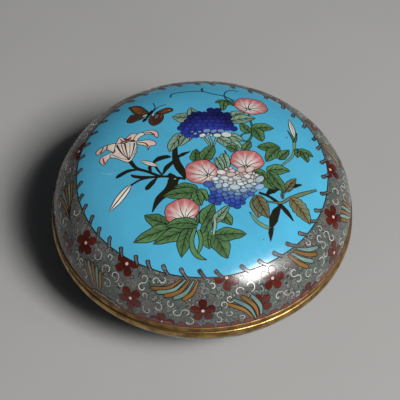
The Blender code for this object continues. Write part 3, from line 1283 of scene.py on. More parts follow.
    # Leaves round and below the lowest flower, and the three flowers in the middle
    LOWER_FLOWERS = (
        Leaf(-1.6-15j, -10.6-13j, 4.8, -0.16),
        Leaf(-1.2-15.8j, -14.8-17j, 5.6, -0.06),
        Leaf(-1.8-14.4j, 1.8-19.6j, 4.2, 0.20, veins=2),
        Leaf(-2.2-14.6j, -0.2-21.8j, 4.8, -0.06),
        Leaf(-12.2-29.2j, -21.4-24.7j, 5.8, 0.08),
        Leaf(-10.4-30.4j, -25.3-35.1j, 5.8, -0.02),
        Leaf(-1.8-30.2j, -18-36.4j, 6.0, -0.02, veins=4),
        Leaf(-1.4-29j, 0.8-22.4j, 3.6, -0.04, veins=2),
        Leaf(0.8-30j, 4.6-20.4j, 5.8, 0.12),
        Leaf(6.4-24.4j, 11-29.6j, 4.8, 0.12, veins=2),
        Leaf(3.2-26.8j, 0.4-34.9j, 4.2, -0.06, veins=2),
        Leaf(3.6-28.8j, 10.2-20.8j, 4.0, -0.06, PALE, 3),
        Leaf(2.4-32.2j, 2.8-39j, 5.4, -0.12, veins=2),
        Leaf(4.2-33j, 9.4-42.2j, 6.8, 0.06),
        Leaf(4.6-33.6j, 16.4-32.6j, 5.4, 0.03),
        Leaf(-4.8-31.2j, -7.4-42j, 5.4, -0.10),
        Stem((4.6-27j, 4.8-29.6j, 4.2-33.4j), (1.3, 1.6, 1.2), Tile.PALE_LEAF, PALE_GREEN, 0.28),
        Stem((-1.4-31.6j, -0.4-35j, -0.7-38.6j, -2.4-41.4j), (1.6, 1.8, 1.6, 0.8), *GREEN_STEM),
        Stem((-2.6-31.4j, -3.8-35.4j, -3.2-39.2j, -1.2-41.6j, 1.8-42.8j), (1.6, 2.0, 2.2, 2.0, 0.3),
             *GREEN_STEM),
        MorningGlory(-0.3-5.8j, 6.4, 5.9, 10.0, 2.6-7.6j),
        MorningGlory(17.1+0.2j, 6.5, 5.3, -6.0, 16.6-3.2j),
        MorningGlory(-7.5-23.8j, 6.6, 5.5, 18.0, -6.2-27.4j),
    )
    # The leaf that lies over the lowest flower, and the pale bead on the dark branch
    FRONT_LEAF = Leaf(-1.4-29.8j, -13.8-30.2j, 5.0, -0.20)
    BEAD = oval(-10.2-9.2j, 0.75, 0.62, 0.0, 10)

    def grow(self, *plants: Leaf | Stem | MorningGlory | Hydrangea) -> None:
        """Draws plants one over the other."""
        for plant in plants:
            plant.draw(self)

    def draw(self) -> None:
        """Draws the whole picture, from the back to the front."""
        self.wear()
        self.grow(*self.TENDRILS, *self.DARK_BRANCH)
        self.walled(self.BEAD, Tile.PALE_LEAF, flat(PALE_GREEN))
        self.grow(*self.BUDS)
        self.lily()
        self.butterfly()
        self.grow(*self.RIGHT_SPRAY, *self.UPPER_LEAVES)
        self.cobalt_head()
        self.grow(*self.UPPER_FLOWER, *self.LOWER_FLOWERS)
        self.pale_head()
        self.grow(self.FRONT_LEAF)

    SCUFFS = ((-38.8-3.3j, -35.6-4.3j), (-37-4.4j, -34.2-4.9j), (-35.4-3.9j, -32.6-4.4j))
    PITS = ((33+14.3j, 0.42), (-34-31j, 0.40), (-17.4+35.6j, 0.22), (22.6-34j, 0.24))

    def wear(self) -> None:
        """Draws a faint scuff and a few pits in the turquoise."""
        for start, end in self.SCUFFS:
            pale = flat(mixed(TURQUOISE, PETAL_WHITE, 0.22))
            self.stroke(np.linspace(start, end, 4), 0.14, 0.34, Tile.PANEL, pale)
        for spot, size in self.PITS:
            self.add(oval(spot, size, size * 0.8, 20.0, 8), Tile.PANEL, flat(scaled(TURQUOISE, 0.3)))

    # Petals of the lily from the back to the front: outline, root, tip and folds
    PETALS = (
        ((-33.4+9.8j, -33.2+12j, -32.2+14.3j, -30.8+13.4j, -29.4+12.5j, -29+10.8j),
         -31.2+14.2j, -31+10.4j, ((-32.2+13.4j, -31.2+11.8j, -31+10.8j),)),
        ((-29.8+11j, -29.5+13.2j, -27.9+15.1j, -26+15.2j, -25+14.2j, -26.2+12.2j, -27+10.8j),
         -24+12j, -28.2+14.2j, ((-28.9+11.4j, -27.9+13.2j),)),
        ((-24.3+14.8j, -22.3+15.9j, -19.8+16.3j, -17.6+15.3j, -16.9+13.2j, -17.4+11.6j, -18.4+12.6j,
          -19.6+13.7j, -21.8+14.2j, -23.6+13.6j),
         -22.6+13.6j, -18.6+15.6j, ((-23+14.9j, -20.4+15.1j, -18.4+13.2j),)),
        ((-27+10.4j, -26.4+13j, -24.9+15j, -23+15.2j, -22.4+13.9j, -23.8+12.9j, -24.8+11.6j, -25.2+10j),
         -24.6+13.6j, -28+8j, ()),
        ((-25.8+10.5j, -23.2+10.9j, -21+11.1j, -18.6+10.3j, -17.6+8.8j, -18.4+7.6j, -20+7.5j, -20.7+5.4j,
          -21.4+7.1j, -22.8+8.1j, -24.8+8.8j),
         -24.8+9.6j, -18.6+9.2j, ((-24.8+10j, -22.2+9.4j, -20.7+7.4j),)),
        ((-33.4+10.6j, -36+11j, -38.4+10.4j, -40.9+8.9j, -41.4+7.2j, -40.2+6.1j, -38.6+6.9j, -37.4+8.1j,
          -36+7.4j, -34.2+6.4j),
         -33.8+8.4j, -39.6+8j, ((-38.5+10.3j, -38.8+8.6j, -39.6+6.8j), (-36.8+10.8j, -37.1+8.4j))),
        ((-34.6+6.4j, -36.8+5.7j, -39+4.8j, -39.7+2.8j, -38.7+0.9j, -37.4+0.2j, -36.5+2j, -35.2+3.5j,
          -33+3.4j),
         -34.4+5j, -38.2+3j, ((-38.4+4.3j, -37.9+2.6j, -37.6+1j),)),
    )
    TRUMPET = (
        -28.4+0j, -30.5+1j, -33+2.6j, -35.5+3.8j, -35.4+5.3j, -33.9+6.4j, -34+8.4j, -33.6+10.3j, -32+10.6j,
        -30.4+10.3j, -28.6+10.9j, -26.8+10.8j, -25.4+10.4j, -25.1+8.4j, -25+6j, -25.8+3.2j, -27+0.8j,
    )
    # Ribs of the trumpet from its foot: end, bow, width of the wire and width of the red fold under it
    TRUMPET_FOOT = -28+1.2j
    RIBS = (
        (-34.6+5j, 0.06, 0.30, 0.0), (-33.2+9.8j, 0.05, 0.50, 0.9), (-31.4+9.8j, 0.05, 0.34, 0.0),
        (-30+10j, 0.02, 0.26, 0.8), (-28+10.2j, -0.02, 0.24, 0.0), (-26.2+9.9j, -0.05, 0.30, 0.7),
        (-25.4+7.4j, -0.07, 0.24, 0.0),
    )
    MOUTH = (
        (-31.8+10.7j, -29.6+11.6j, -27.6+11.5j, -26+11j), (-30.6+12.6j, -29+12.2j, -27.6+12.8j),
    )

    def red_fold(self, line: Outline, start: float, end: float) -> None:
        """Draws a reddish fold of the lily."""
        self.stroke(line, start, end, Tile.BUTTERFLY, flat(LILY_RED))

    def lily(self) -> None:
        """Draws the pale lily: petals that curl back, and the ribbed trumpet in front of them."""
        for points, root, tip, folds in self.PETALS:
            ends = self.place(np.array([root, tip]))
            self.walled(smooth_loop(points), Tile.LILY, along(ends[0], ends[1], CREAM, SHELL_PINK))
            for fold in folds:
                line = smooth_line(fold, 5)
                self.red_fold(line, 0.35, 0.75)
                self.stroke(line, 0.26, 0.18)
        ends = self.place(np.array([-26+8j, -36+4j]))
        shade = along(ends[0], ends[1], PETAL_WHITE, mixed(CREAM, SHELL_PINK, 0.5))
        self.walled(smooth_loop(self.TRUMPET), Tile.LILY, shade)
        for end, bow, width, fold in self.RIBS:
            line = bowed(self.TRUMPET_FOOT, end, bow, 6)
            if fold:
                self.red_fold(line, 0.20, fold)
            self.stroke(line, 0.20, width)
        for mouth in self.MOUTH:
            self.red_fold(smooth_line(mouth, 5), 0.75, 0.75)
            self.stroke(smooth_line(mouth, 5), 0.30, 0.30)

    # The butterfly's wings: outline, colour and width of the brown border
    WINGS = (
        ((-21.2+26.8j, -22.8+29.6j, -24.6+31.8j, -26.8+32.8j, -29.7+32.4j, -28.6+29.8j, -27.2+27.2j,
          -24+25.2j),
         ORANGE, 1.1),
        ((-22.4+25.2j, -25.4+26.2j, -28+26.8j, -29.4+24.9j, -29.9+22.4j, -28+21.4j, -25.6+22.3j,
          -23.4+23.4j),
         MAROON, 0.8),
        ((-18.6+26.2j, -16.6+28j, -14+29.2j, -12+28.6j, -11.5+27.2j, -13.4+25.7j, -16.2+24.9j),
         ORANGE, 0.95),
        ((-20+25.2j, -17.6+26j, -15.4+25j, -15.2+22.4j, -16.6+19.8j, -19+18.5j, -20.8+20j, -21.2+22.6j),
         MAROON, 0.75),
    )
    # The rounds on its wings and body: middle, half length, half breadth, turn, colour and wire
    ROUNDS = (
        (-18+24j, 1.5, 0.9, 65.0, BODY_GREY, 0.2),
        (-16.3+24j, 1.7, 0.45, 72.0, ORANGE, 0.16),
        (-13.2+27.5j, 1.1, 0.85, 20.0, scaled(ORANGE, 1.5), 0.2),
        (-22.6+25.2j, 1.4, 0.65, 25.0, scaled(CREAM, 0.7), 0.2),
        (-19.4+25.3j, 1.1, 0.5, 80.0, scaled(CREAM, 0.8), 0.16),
    )
    WING_ROOT = -21+26j
    # The body and the two feelers
    BODY = (
        Stem((-19.6+28j, -20.8+26j, -21.8+23.8j, -22.6+22.6j, -23.4+21.4j), (1.3, 1.7, 0.9, 1.6, 0.7),
             Tile.BUTTERFLY, SOOT, 0.16),
        Stem((-19.5+27.9j, -18.8+30j, -19.7+33.2j), (0.44, 0.34)),
        Stem((-19.2+27.9j, -17.2+30.2j, -14.4+31.4j), (0.44, 0.32)),
    )

    def butterfly(self) -> None:
        """Draws the butterfly: four bordered wings with veins, a dark body and two feelers."""
        body = self.WING_ROOT
        for points, colour, band in self.WINGS:
            loop = smooth_loop(points)
            middle = complex(np.mean(loop))
            tip = middle + 0.45 * (middle - body)
            self.walled(loop, Tile.BUTTERFLY, flat(WING_BROWN), 0.34)
            ends = (middle + 0.90 * (body - middle), middle + 0.25 * (middle - body))
            root, end = self.place(np.array(ends))
            shade = along(root, end, scaled(WING_BROWN, 1.1), scaled(colour, 1.25))
            self.drawing.add(inset(self.place(loop), band), Tile.BUTTERFLY, shade)
            for side in (-1.0, 0.0, 1.0):
                way = tip + side * 1.2j * (tip - body) / abs(tip - body)
                vein = smooth_line((body + 0.3 * (way - body), (body + way) / 2.0, way), 5)
                self.stroke(vein, 0.22, 0.10)
        for spot, long, short, turn, colour, wire in self.ROUNDS:
            self.walled(oval(spot, long, short, turn, 12), Tile.BUTTERFLY, flat(colour), wire)
        self.grow(*self.BODY)

    COBALT_BORDER = (
        -10+15j, -9.2+17.6j, -7.9+19.6j, -6+22j, -5+24.2j, -3.2+25.8j, -0.2+26.2j, 2.6+27j, 5.2+27.9j,
        6.9+27j, 8+25.6j, 10.8+24.6j, 11.5+21.6j, 12.3+18.6j, 13.6+15.8j, 11.6+14.6j, 7.6+14.4j, 2+13.6j,
        -1.6+12.2j, -4.4+11.3j, -6.4+12.2j, -7.8+14.2j,
    )

    def cobalt_head(self) -> None:
        """Draws the cobalt head of florets, with a few white ones along its lower edge."""
        self.grow(Hydrangea(self.COBALT_BORDER, FloretTones.COBALT_HEAD, 0.0, -0.42, True, 1.0))
        hazy = mixed(FLORET_PALE, BRIGHT_COBALT, 0.45)
        florets = (
            (1.8+15.1j, 1.7, 12, hazy), (4.5+14.9j, 1.5, 30, hazy), (7.3+15.1j, 1.6, -10, hazy),
            (-2.7+13.5j, 1.0, 30, mixed(hazy, FLORET_PALE, 0.5)), (-3.9+14.6j, 0.8, 0, hazy),
            (-1+14.6j, 0.9, 0, mixed(hazy, FLORET_PALE, 0.3)), (0.1+12.6j, 1.5, 25, FLORET_WHITE),
            (2.3+13.3j, 0.9, 60, FLORET_PALE), (3.5+12.7j, 0.85, 100, FLORET_WHITE),
            (1.8+11.6j, 0.7, 0, FLORET_WHITE), (0.1+11j, 0.7, 0, FLORET_PALE),
            (5.8+12.7j, 1.7, 0, FLORET_WHITE), (9.4+13.2j, 2.2, -8, FLORET_WHITE),
        )
        for spot, size, turn, colour in florets:
            self.walled(oval(spot, size, size * 0.70, turn, 14), Tile.FLORET, flat(colour), 0.22)

    PALE_BORDER = (
        6-5.6j, 9-4.2j, 12-4j, 15-2.9j, 18.4-2.7j, 20.2-4.4j, 21.2-6.4j, 23.3-7.6j, 23.4-10.4j, 23-13.2j,
        19.8-16.2j, 17-19.2j, 14.6-21.4j, 12.4-22.4j, 9.6-20.9j, 6-20.7j, 2.6-20.9j, 2.5-17.4j, 1.2-14.4j,
        0.6-11.2j, 3.2-9.8j, 4.4-7.6j,
    )
    # Florets of the pale head: middle, half length, half breadth and turn
    PALE_FLORETS = (
        (7.2-6j, 1.75, 1.15, -5), (9.1-4.6j, 0.8, 0.75), (11.4-5.2j, 1.2, 0.9), (10.7-3.9j, 0.9, 0.65),
        (10.9-7j, 1.75, 1.0, 10), (14.8-4.6j, 1.5, 1.35), (13.2-6.1j, 0.8, 0.8), (13.6-7.3j, 0.7, 0.6),
        (15.9-6.2j, 0.9, 0.7), (18.1-4.1j, 2.0, 1.2, 40), (18.1-6.1j, 1.0, 0.7), (19.4-6.1j, 0.7, 0.7),
        (17-7.4j, 1.45, 1.2, -40), (19-7.9j, 1.0, 0.65, 90), (20.6-6.8j, 0.85, 0.75),
        (21.7-8.7j, 2.0, 1.3, 45), (13.1-8.5j, 1.75, 1.1), (8.4-8.7j, 1.6, 1.05, -5), (6.4-7.9j, 0.8, 0.7),
        (9.9-8.1j, 0.7, 0.6), (5-9.2j, 1.35, 1.0, 10), (10.8-9.4j, 1.0, 0.75), (13.9-10j, 1.1, 0.7),
        (15.6-9.2j, 1.0, 0.9, 40), (18.2-9.7j, 1.35, 1.0, 30), (20-9.4j, 1.0, 0.7, 80),
        (16.2-10.7j, 0.8, 0.75), (8.9-10.3j, 0.9, 0.7), (10.6-10.9j, 1.1, 0.85), (7.2-10.4j, 1.0, 0.8),
        (5.3-10.8j, 1.1, 0.7), (8.8-12j, 1.4, 1.1, 45), (14.4-11.2j, 1.45, 0.9, -20), (12.2-10.9j, 0.8, 0.7),
        (19.5-11j, 1.1, 0.7), (17.6-12j, 1.6, 1.0, 15), (12.3-12.8j, 2.0, 1.35), (21.6-12.2j, 2.0, 1.25, 30),
        (15.6-12.8j, 0.9, 0.7), (6.2-12.4j, 1.5, 1.2, 60), (2.4-11.8j, 1.9, 1.5, -10), (4.1-13.8j, 1.6, 1.1),
        (8.6-14.1j, 1.1, 0.95), (10.1-13.9j, 0.9, 0.7, 80), (15.6-14.1j, 1.6, 1.0, 20),
        (17.6-13.6j, 0.9, 0.7), (19.1-14.1j, 1.25, 0.85), (13.3-14.6j, 1.0, 0.7), (10.7-15.6j, 1.35, 0.95),
        (13.3-15.9j, 1.4, 0.85, 10), (18.3-15.6j, 1.3, 1.1), (6.6-14.9j, 1.25, 1.1), (4.3-15.7j, 1.2, 1.0),
        (16.4-16.6j, 1.5, 1.05, 30), (8.4-16.3j, 1.1, 0.95), (6.1-16.7j, 1.5, 1.05), (3.6-17.4j, 1.2, 0.95),
        (11-17.3j, 1.1, 0.95), (13.1-17.6j, 1.45, 1.1), (15.3-18j, 1.1, 0.95), (9.1-17.9j, 1.1, 1.0),
        (6.6-18.7j, 1.7, 1.15, 15), (3.7-19.3j, 1.4, 1.1), (9.4-19.6j, 1.25, 1.05), (11.3-19.1j, 1.15, 1.0),
        (13.2-19.6j, 1.3, 1.1), (15-19.7j, 1.15, 1.0), (5.8-20.3j, 1.3, 0.95), (11.2-20.9j, 1.25, 1.0),
        (13-21.4j, 1.4, 1.15),
    )

    def pale_head(self) -> None:
        """Draws the head of florets that runs from pink and white to blue."""
        florets = tuple(Floret(*row) for row in self.PALE_FLORETS)
        self.grow(Hydrangea(self.PALE_BORDER, FloretTones.PALE_HEAD, 0.06, 0.31, False, 1.3, florets))


@dataclass
class Band:
    """The patterned border of a shell: blossoms, fans and curled wires on a grey ground."""

    drawing: Drawing
    start: float
    depth: float
    chance: random.Random
    busy: list[tuple[complex, float]] = field(default_factory=list)

    PETAL = (2.15, 1.68)
    PETAL_REACH = 2.62
    BLOSSOM_RADIUS = 4.8
    BLOSSOM_ROOM = 4.7
    MIDDLE = 1.15
    EYE = 0.60
    STRIPE_MARKS = (0.0, 0.55, 0.92, 1.0)
    STRIPE_WIDTHS = (0.85, 1.95, 1.9, 0.7)
    STRIPE_WIRE = 0.32
    CURL_POINTS = 12
    CURL_TURN = (3.7, 5.4)

    def laid(self, angle: float, down: float, shape: Outline) -> Outline:
        """Lays a shape on the border at its true size.

        Args:
            angle: Where its origin lies round the shell, in degrees.
            down: How far its origin lies down the border, in millimetres.
            shape: The shape, to the right and down from its origin.

        Returns:
            The shape in the drawing.
        """
        run = np.maximum(self.start + self.side * (down + shape.imag), 0.5)
        turn = math.radians(angle) + shape.real / self.drawing.form.radius_at(run)
        return run * np.exp(1j * turn)

    @property
    def side(self) -> float:
        """1 where the border runs away from the pole, and -1 where it runs towards it."""
        return 1.0 if self.depth > 0.0 else -1.0

    def claim(self, places: Outline, radius: float) -> None:
        """Keeps curled wires away from places of the drawing."""
        self.busy.extend((complex(place), radius) for place in places)

    def is_free(self, place: complex, radius: float) -> bool:
        """Tells whether nothing is within a radius of a place."""
        return all(abs(place - other) > radius + reach for other, reach in self.busy)

    def blossom(self, angle: float, down: float, turn: float) -> None:
        """Draws a red blossom of five petals round a white eye, 9 millimetres across.

        Args:
            angle: Where it lies round the shell, in degrees.
            down: How far down the border it lies, in millimetres.
            turn: How far it is turned, in degrees.
        """
        heart = self.laid(angle, down, np.array([0j]))[0]
        for petal in range(5):
            way = turned_by(turn + 72.0 * petal + self.chance.uniform(-7.0, 7.0))
            blade = oval(0j, *self.PETAL, 0.0, 16)
            blade = self.PETAL_REACH + blade.real + 1j * blade.imag * (0.93 + 0.13 * blade.real)
            tone = self.chance.uniform(0.75, 1.25)
            inner, outer = scaled(BLOSSOM_DEEP, tone), scaled(BLOSSOM_RED, tone)
            paint = around(heart, self.BLOSSOM_RADIUS, inner, outer, 0.15)
            self.drawing.walled(self.laid(angle, down, blade * way), Tile.RED, paint, 0.20)
        middle = self.laid(angle, down, oval(0j, self.MIDDLE, self.MIDDLE, 0.0, 12))
        self.drawing.add(middle, Tile.RED, flat(mixed(BLOSSOM_DEEP, BLOSSOM_RED, 0.5)))
        eye = self.laid(angle, down, oval(0j, self.EYE, self.EYE, 0.0, 10))
        self.drawing.add(eye, Tile.LILY, flat(BLOSSOM_EYE))
        self.claim(np.array([heart]), self.BLOSSOM_ROOM)

    def fan(self, angle: float, down: float, ends: tuple[complex, complex], sweep: float, count: int = 5,
            spread: float = 0.30) -> None:
        """Draws a spray of curved stripes in turns of ochre and pale blue.

        Args:
            angle: Where the middle of its root lies round the shell, in degrees.
            down: How far down the border its root lies, in millimetres.
            ends: The tips of the first and last stripe, to the right and down from the root.
            sweep: How far the stripes bow, as a share of their length.
            count: How many stripes it has.
            spread: How far apart the stripes start, as a share of how far apart they end.
        """
        for stripe in range(count):
            share = stripe / (count - 1)
            tip = ends[0] * (1.0 - share) + ends[1] * share
            tip *= 1.0 + 0.10 * math.sin(math.pi * share)
            line = bowed(spread * (ends[1] - ends[0]).real * (share - 0.5), tip, sweep, 7)
            shape = ribbon(line, widths_along(line, self.STRIPE_MARKS, self.STRIPE_WIDTHS))
            colour = DUCK_EGG if stripe % 2 else OCHRE
            tone = self.chance.uniform(0.85, 1.15)
            root, end = self.laid(angle, down, line[[0, -1]])
            paint = along(root, end, scaled(colour, 1.15 * tone), scaled(colour, 0.80 * tone))
            self.drawing.walled(self.laid(angle, down, shape), Tile.FAN, paint, self.STRIPE_WIRE)
            self.claim(self.laid(angle, down, line[::3]), 1.0)

    def curl(self, place: complex, size: float, tile: Tile, width: float, pair: bool) -> None:
        """Draws a curled wire round a place of the drawing: a hook, or two hooks joined into an S."""
        share = np.linspace(0.0, 1.0, self.CURL_POINTS)
        angles = share * self.chance.uniform(*self.CURL_TURN) * self.chance.choice((1.0, -1.0))
        line = size * (1.0 - 0.58 * share**1.6) * np.exp(1j * angles)
        if pair:
            line = np.concatenate([(2.0 * line[0] - line)[:0:-1], line]) - line[0]
        angle = math.degrees(math.atan2(place.imag, place.real))
        down = (abs(place) - self.start) * self.side
        laid = self.laid(angle, down, line * turned_by(self.chance.uniform(0.0, 360.0)))
        self.drawing.stroke(laid, width if pair else 0.8 * width, 1.25 * width, tile)

    def curls(self, count: int, size: float, keep: float, tile: Tile, width: float,
              pair: bool = False) -> None:
        """Scatters curled wires over what is still free of the border.

        Args:
            count: How many places are tried.
            size: The radius of a hook, in millimetres.
            keep: How much room a curl keeps round its middle.
            tile: The kind of wire.
            width: The wire's width.
            pair: Whether two hooks are joined into an S.
        """
        for _ in range(count):
            angle = self.chance.uniform(-180.0, 180.0)
            down = self.chance.uniform(keep + 0.1, abs(self.depth) - keep)
            place = (self.start + self.side * down) * turned_by(angle)
            if self.is_free(place, keep):
                self.curl(place, size * self.chance.uniform(0.85, 1.1), tile, width, pair)
                self.busy.append((place, keep))


def border_paint(spot: complex) -> Colour:
    """Returns the border's grey at a place. It drifts towards green and back round the shell."""
    wave = math.sin(spot.real * 0.31 + 1.7 * math.sin(spot.imag * 0.23))
    return mixed(GREY, GREY_GREEN, 0.5 + 0.5 * wave)


def panel_paint(spot: complex) -> Colour:
    """Returns the panel's turquoise at a place. It is a little uneven."""
    wave = math.sin(spot.real * 0.21 + 0.8) * math.sin(spot.imag * 0.17 - 0.4)
    return scaled(TURQUOISE, 1.0 + 0.035 * wave)


@dataclass
class Skins:
    """The enamelled skins of the lid and the bowl."""

    workshop: Workshop

    TOOTH_TIPS = (
        -182.0, -174.0, -166.5, -160.0, -152.5, -145.0, -137.5, -129.8, -121.5, -115.5, -108.0, -99.8, -91.5,
        -84.2, -72.5, -64.0, -56.0, -48.0, -39.5, -31.2, -24.0, -13.5, -3.5, 5.5, 14.5, 20.5, 29.5, 38.0,
        45.5, 56.0, 64.5, 73.5, 84.0, 91.5, 100.5, 109.0, 118.5, 126.5, 136.0, 145.0, 153.5, 161.5, 169.5,
    )

    # Blossoms of the lid's border: angle round the shell, distance down the border and turn
    LID_BLOSSOMS = (
        (-153.0, 13.9, 10), (-144.8, 5.5, 20), (-123.3, 1.6, 54), (-117.2, 13.2, 15),
        (-104.3, 19.8, -18), (-89.6, 12.4, 50), (-79.5, 0.5, 30), (-68.0, 13.7, 40), (-60.9, 5.5, 5),
        (-47.3, 20.0, -16), (-30.3, 14.8, 12), (-20.0, 5.5, -18), (3.5, 1.4, 50), (12.0, 13.0, 25),
        (32.0, 6.0, 10), (24.0, 17.5, 0), (60.0, 13.5, 40), (52.0, 1.2, 50), (78.0, 5.5, 15),
        (88.0, 14.0, 30), (106.0, 1.4, 52), (118.0, 13.2, 5), (136.0, 6.0, 40), (146.0, 15.0, 20),
        (166.0, 1.6, 50), (176.0, 13.0, 12), (-167.0, 19.6, -16),
    )
    # Fans of the lid's border, some rooted at the panel and some at the rim, as Band.fan takes them
    LID_FANS = (
        (-94.8, 0.7, (-14.8+5.7j, -2.6+8j), -0.12, 5, 0.48),
        (-69.5, 20.6, (-11.4-10.8j, -1.6-12.2j), 0.12, 4, 0.24),
        (-47.8, 0.8, (3+9j, 11+5.8j), 0.06, 4, 0.55),
        (-5.6, 20.4, (-12-11j, -4-12.4j), -0.08),
        (-131.6, 19.8, (-9.6-9.4j, -0.8-10.6j), 0.06),
        (-160.0, 6.4, (-14.6-4.6j, -13+2.6j), 0.06),
        (42.0, 20.2, (-9-10j, 2.6-11.4j), 0.08),
        (66.0, 0.9, (-12.6+7.4j, -3.6+8.6j), -0.08),
        (104.0, 20.2, (-11.4-9.6j, -1.6-11.2j), 0.08),
        (122.0, 0.9, (3.4+8.6j, 12.6+6j), 0.08),
        (163.0, 20.2, (-10.4-9.8j, -0.8-11.2j), 0.08),
        (18.0, 0.9, (-10+6.6j, -2+8.2j), -0.08),
    )
    # Passes of curled wires, each into the room that the last one left, as Band.curls takes them
    LID_CURLS = (
        (140, 1.60, 2.35, Tile.BRIGHT_WIRE, 0.25, True),
        (700, 2.00, 2.10, Tile.BRIGHT_WIRE, 0.26),
        (500, 1.65, 1.75, Tile.DIM_WIRE, 0.28),
        (1800, 1.30, 1.48, Tile.BRIGHT_WIRE, 0.25),
        (3000, 1.10, 1.15, Tile.DIM_WIRE, 0.25),
        (3600, 0.80, 0.85, Tile.DIM_WIRE, 0.22),
    )
    BOWL_CURLS = (
        (120, 1.30, 2.05, Tile.BRIGHT_WIRE, 0.26, True),
        (1600, 1.50, 1.70, Tile.BRIGHT_WIRE, 0.28),
        (2400, 1.10, 1.20, Tile.DIM_WIRE, 0.24),
    )
    SCALLOPS = 74
    SCALLOP = (2.3, 2.5)
    CHIP_ANGLE = -127.0
    CHIP = (-7.4-0.5j, -5.4-1.9j, -3.4-1.5j, -1.4-2.5j, 0.6-1.7j, 2.6-2.2j, 4.6-1.2j, 6.4-0.3j)
    CHIP_BASE = (6.4+0.6j, -7.4+0.6j)
    TOOTH_MARKS = (0.0, 0.3, 0.7, 0.92, 1.0)
    TOOTH_WIDTHS = (1.5, 1.4, 1.85, 1.65, 1.0)
    TOOTH_WIRES = 0.74
    PANEL_WIRE = 0.42
    BOWL_BLOSSOMS = 18

    def lid(self) -> None:
        """Makes the lid's skin: the border, the toothed panel and its picture."""
        edge = LID_FORM.run_at_height(LID_LOW.z)
        panel = LID_FORM.run_at_radius(PANEL_RADIUS)
        drawing = Drawing(LID_FORM, edge)
        drawing.add(oval(0j, edge, edge, 0.0, 360), Tile.BORDER, border_paint)
        band = Band(drawing, panel, edge - panel, random.Random(5))
        for blossom in self.LID_BLOSSOMS:
            band.blossom(*blossom)
        for fan in self.LID_FANS:
            band.fan(*fan)
        self.scallops(band, edge - panel)
        self.chipped_edge_with_painted_shade(band, edge - panel)
        band.claim(circle(panel), 0.2)
        for curls in self.LID_CURLS:
            band.curls(*curls)
        self.panel(drawing, panel)
        LidPicture(drawing, random.Random(11)).draw()
        self.workshop.skin(drawing, "lid", "lid_enamel")

    def scallops(self, band: Band, down: float) -> None:
        """Draws the row of small red scallops along the border's lower edge."""
        across, high = self.SCALLOP
        angles = np.linspace(0.0, math.pi, 9)
        arc = np.array([complex(across * math.cos(angle), -high * math.sin(angle)) for angle in angles])
        for i in range(self.SCALLOPS):
            turn = 360.0 * i / self.SCALLOPS
            paint = flat(scaled(SCALLOP_RED, band.chance.uniform(0.7, 1.2)))
            band.drawing.walled(band.laid(turn, down - 0.12, arc), Tile.RED, paint, 0.22)
            band.claim(band.laid(turn, down, np.array([0j])), 2.2)

    def chipped_edge_with_painted_shade(self, band: Band, down: float) -> None:
        """Draws the bare patch where the enamel is chipped along the rim at the lid's lower edge, with a
        dark stroke of painted shadow under its lifted edge and a bright stroke of painted light just below
        it.
        """
        line = np.array(self.CHIP)
        bare = np.array([*self.CHIP, *self.CHIP_BASE])[::-1]
        at = self.CHIP_ANGLE
        band.drawing.add(band.laid(at, down - 0.1, bare), Tile.RED, flat(scaled(RUST, 0.55)))
        # Painted light: a bright line just below the chip's lifted edge
        band.drawing.stroke(band.laid(at, down + 0.45, line), 0.30, 0.24, Tile.BRIGHT_WIRE)
        # Painted shadow: a dark line under the chip's lifted edge
        band.drawing.stroke(band.laid(at, down - 0.1, line), 0.70, 0.50)
        band.claim(band.laid(at, down, line), 0.8)

    def panel(self, drawing: Drawing, panel: float) -> None:
        """Draws the turquoise panel with a dark wire round it and the slanted teeth that bite into it."""
        angles = np.arange(0.0, 360.0, 1.0)
        edge = panel + 0.08 * np.sin(np.radians(7.0 * angles))
        edge += 0.06 * np.sin(np.radians(17.0 * angles + 40.0))
        drawing.walled(edge * np.exp(1j * np.radians(angles)), Tile.PANEL, panel_paint, self.PANEL_WIRE)
        chance = random.Random(3)
        for angle in self.TOOTH_TIPS:
            reach = chance.uniform(2.6, 3.3)
            slant = math.degrees(chance.uniform(0.80, 0.95) * reach / panel)
            root = (panel + 0.25) * turned_by(angle + 1.06 * slant)
            knee = (panel - 0.50 * reach) * turned_by(angle + 0.42 * slant)
            tip = (panel - reach) * turned_by(angle)
            line = smooth_line((root, knee, tip), 6)
            widths = widths_along(line, self.TOOTH_MARKS, self.TOOTH_WIDTHS)
            drawing.add(ribbon(line, widths))
            core = np.maximum(widths - self.TOOTH_WIRES, 0.1)
            paint = flat(scaled(TOOTH_GREY, chance.uniform(0.85, 1.15)))
            drawing.add(ribbon(line[:-1], core[:-1]), Tile.BORDER, paint)

    def bowl(self) -> None:
        """Makes the bowl's skin: a plainer border above the foot and plain enamel below it."""
        edge = BOWL_FORM.run_at_height(BOWL_HIGH.z)
        foot = BOWL_FORM.run_at_radius(FOOT_HIGH.x)
        drawing = Drawing(BOWL_FORM, edge)
        drawing.add(oval(0j, edge, edge, 0.0, 360), Tile.BORDER, border_paint)
        band = Band(drawing, edge, -(edge - foot), random.Random(8))
        for i in range(self.BOWL_BLOSSOMS):
            angle = 360.0 * i / self.BOWL_BLOSSOMS - 84.0
            band.blossom(angle, 7.6 if i % 2 else 16.4, 20.0 + 31.0 * i)
            if i % 3 == 0:
                band.fan(angle + 10.0, 3.0, (-3.6+8j, 6.4+8j), 0.06)
        band.claim(circle(foot + 2.6), 0.2)
        for curls in self.BOWL_CURLS:
            band.curls(*curls)
        for run in (foot + 1.9, foot + 2.5):
            drawing.add(oval(0j, run, run, 0.0, 240))
            drawing.add(oval(0j, run - 0.3, run - 0.3, 0.0, 240), Tile.BORDER, border_paint)
        drawing.add(oval(0j, foot - 0.6, foot - 0.6, 0.0, 240), Tile.PANEL, flat(scaled(TURQUOISE, 0.7)))
        self.workshop.skin(drawing, "bowl", "bowl_enamel")


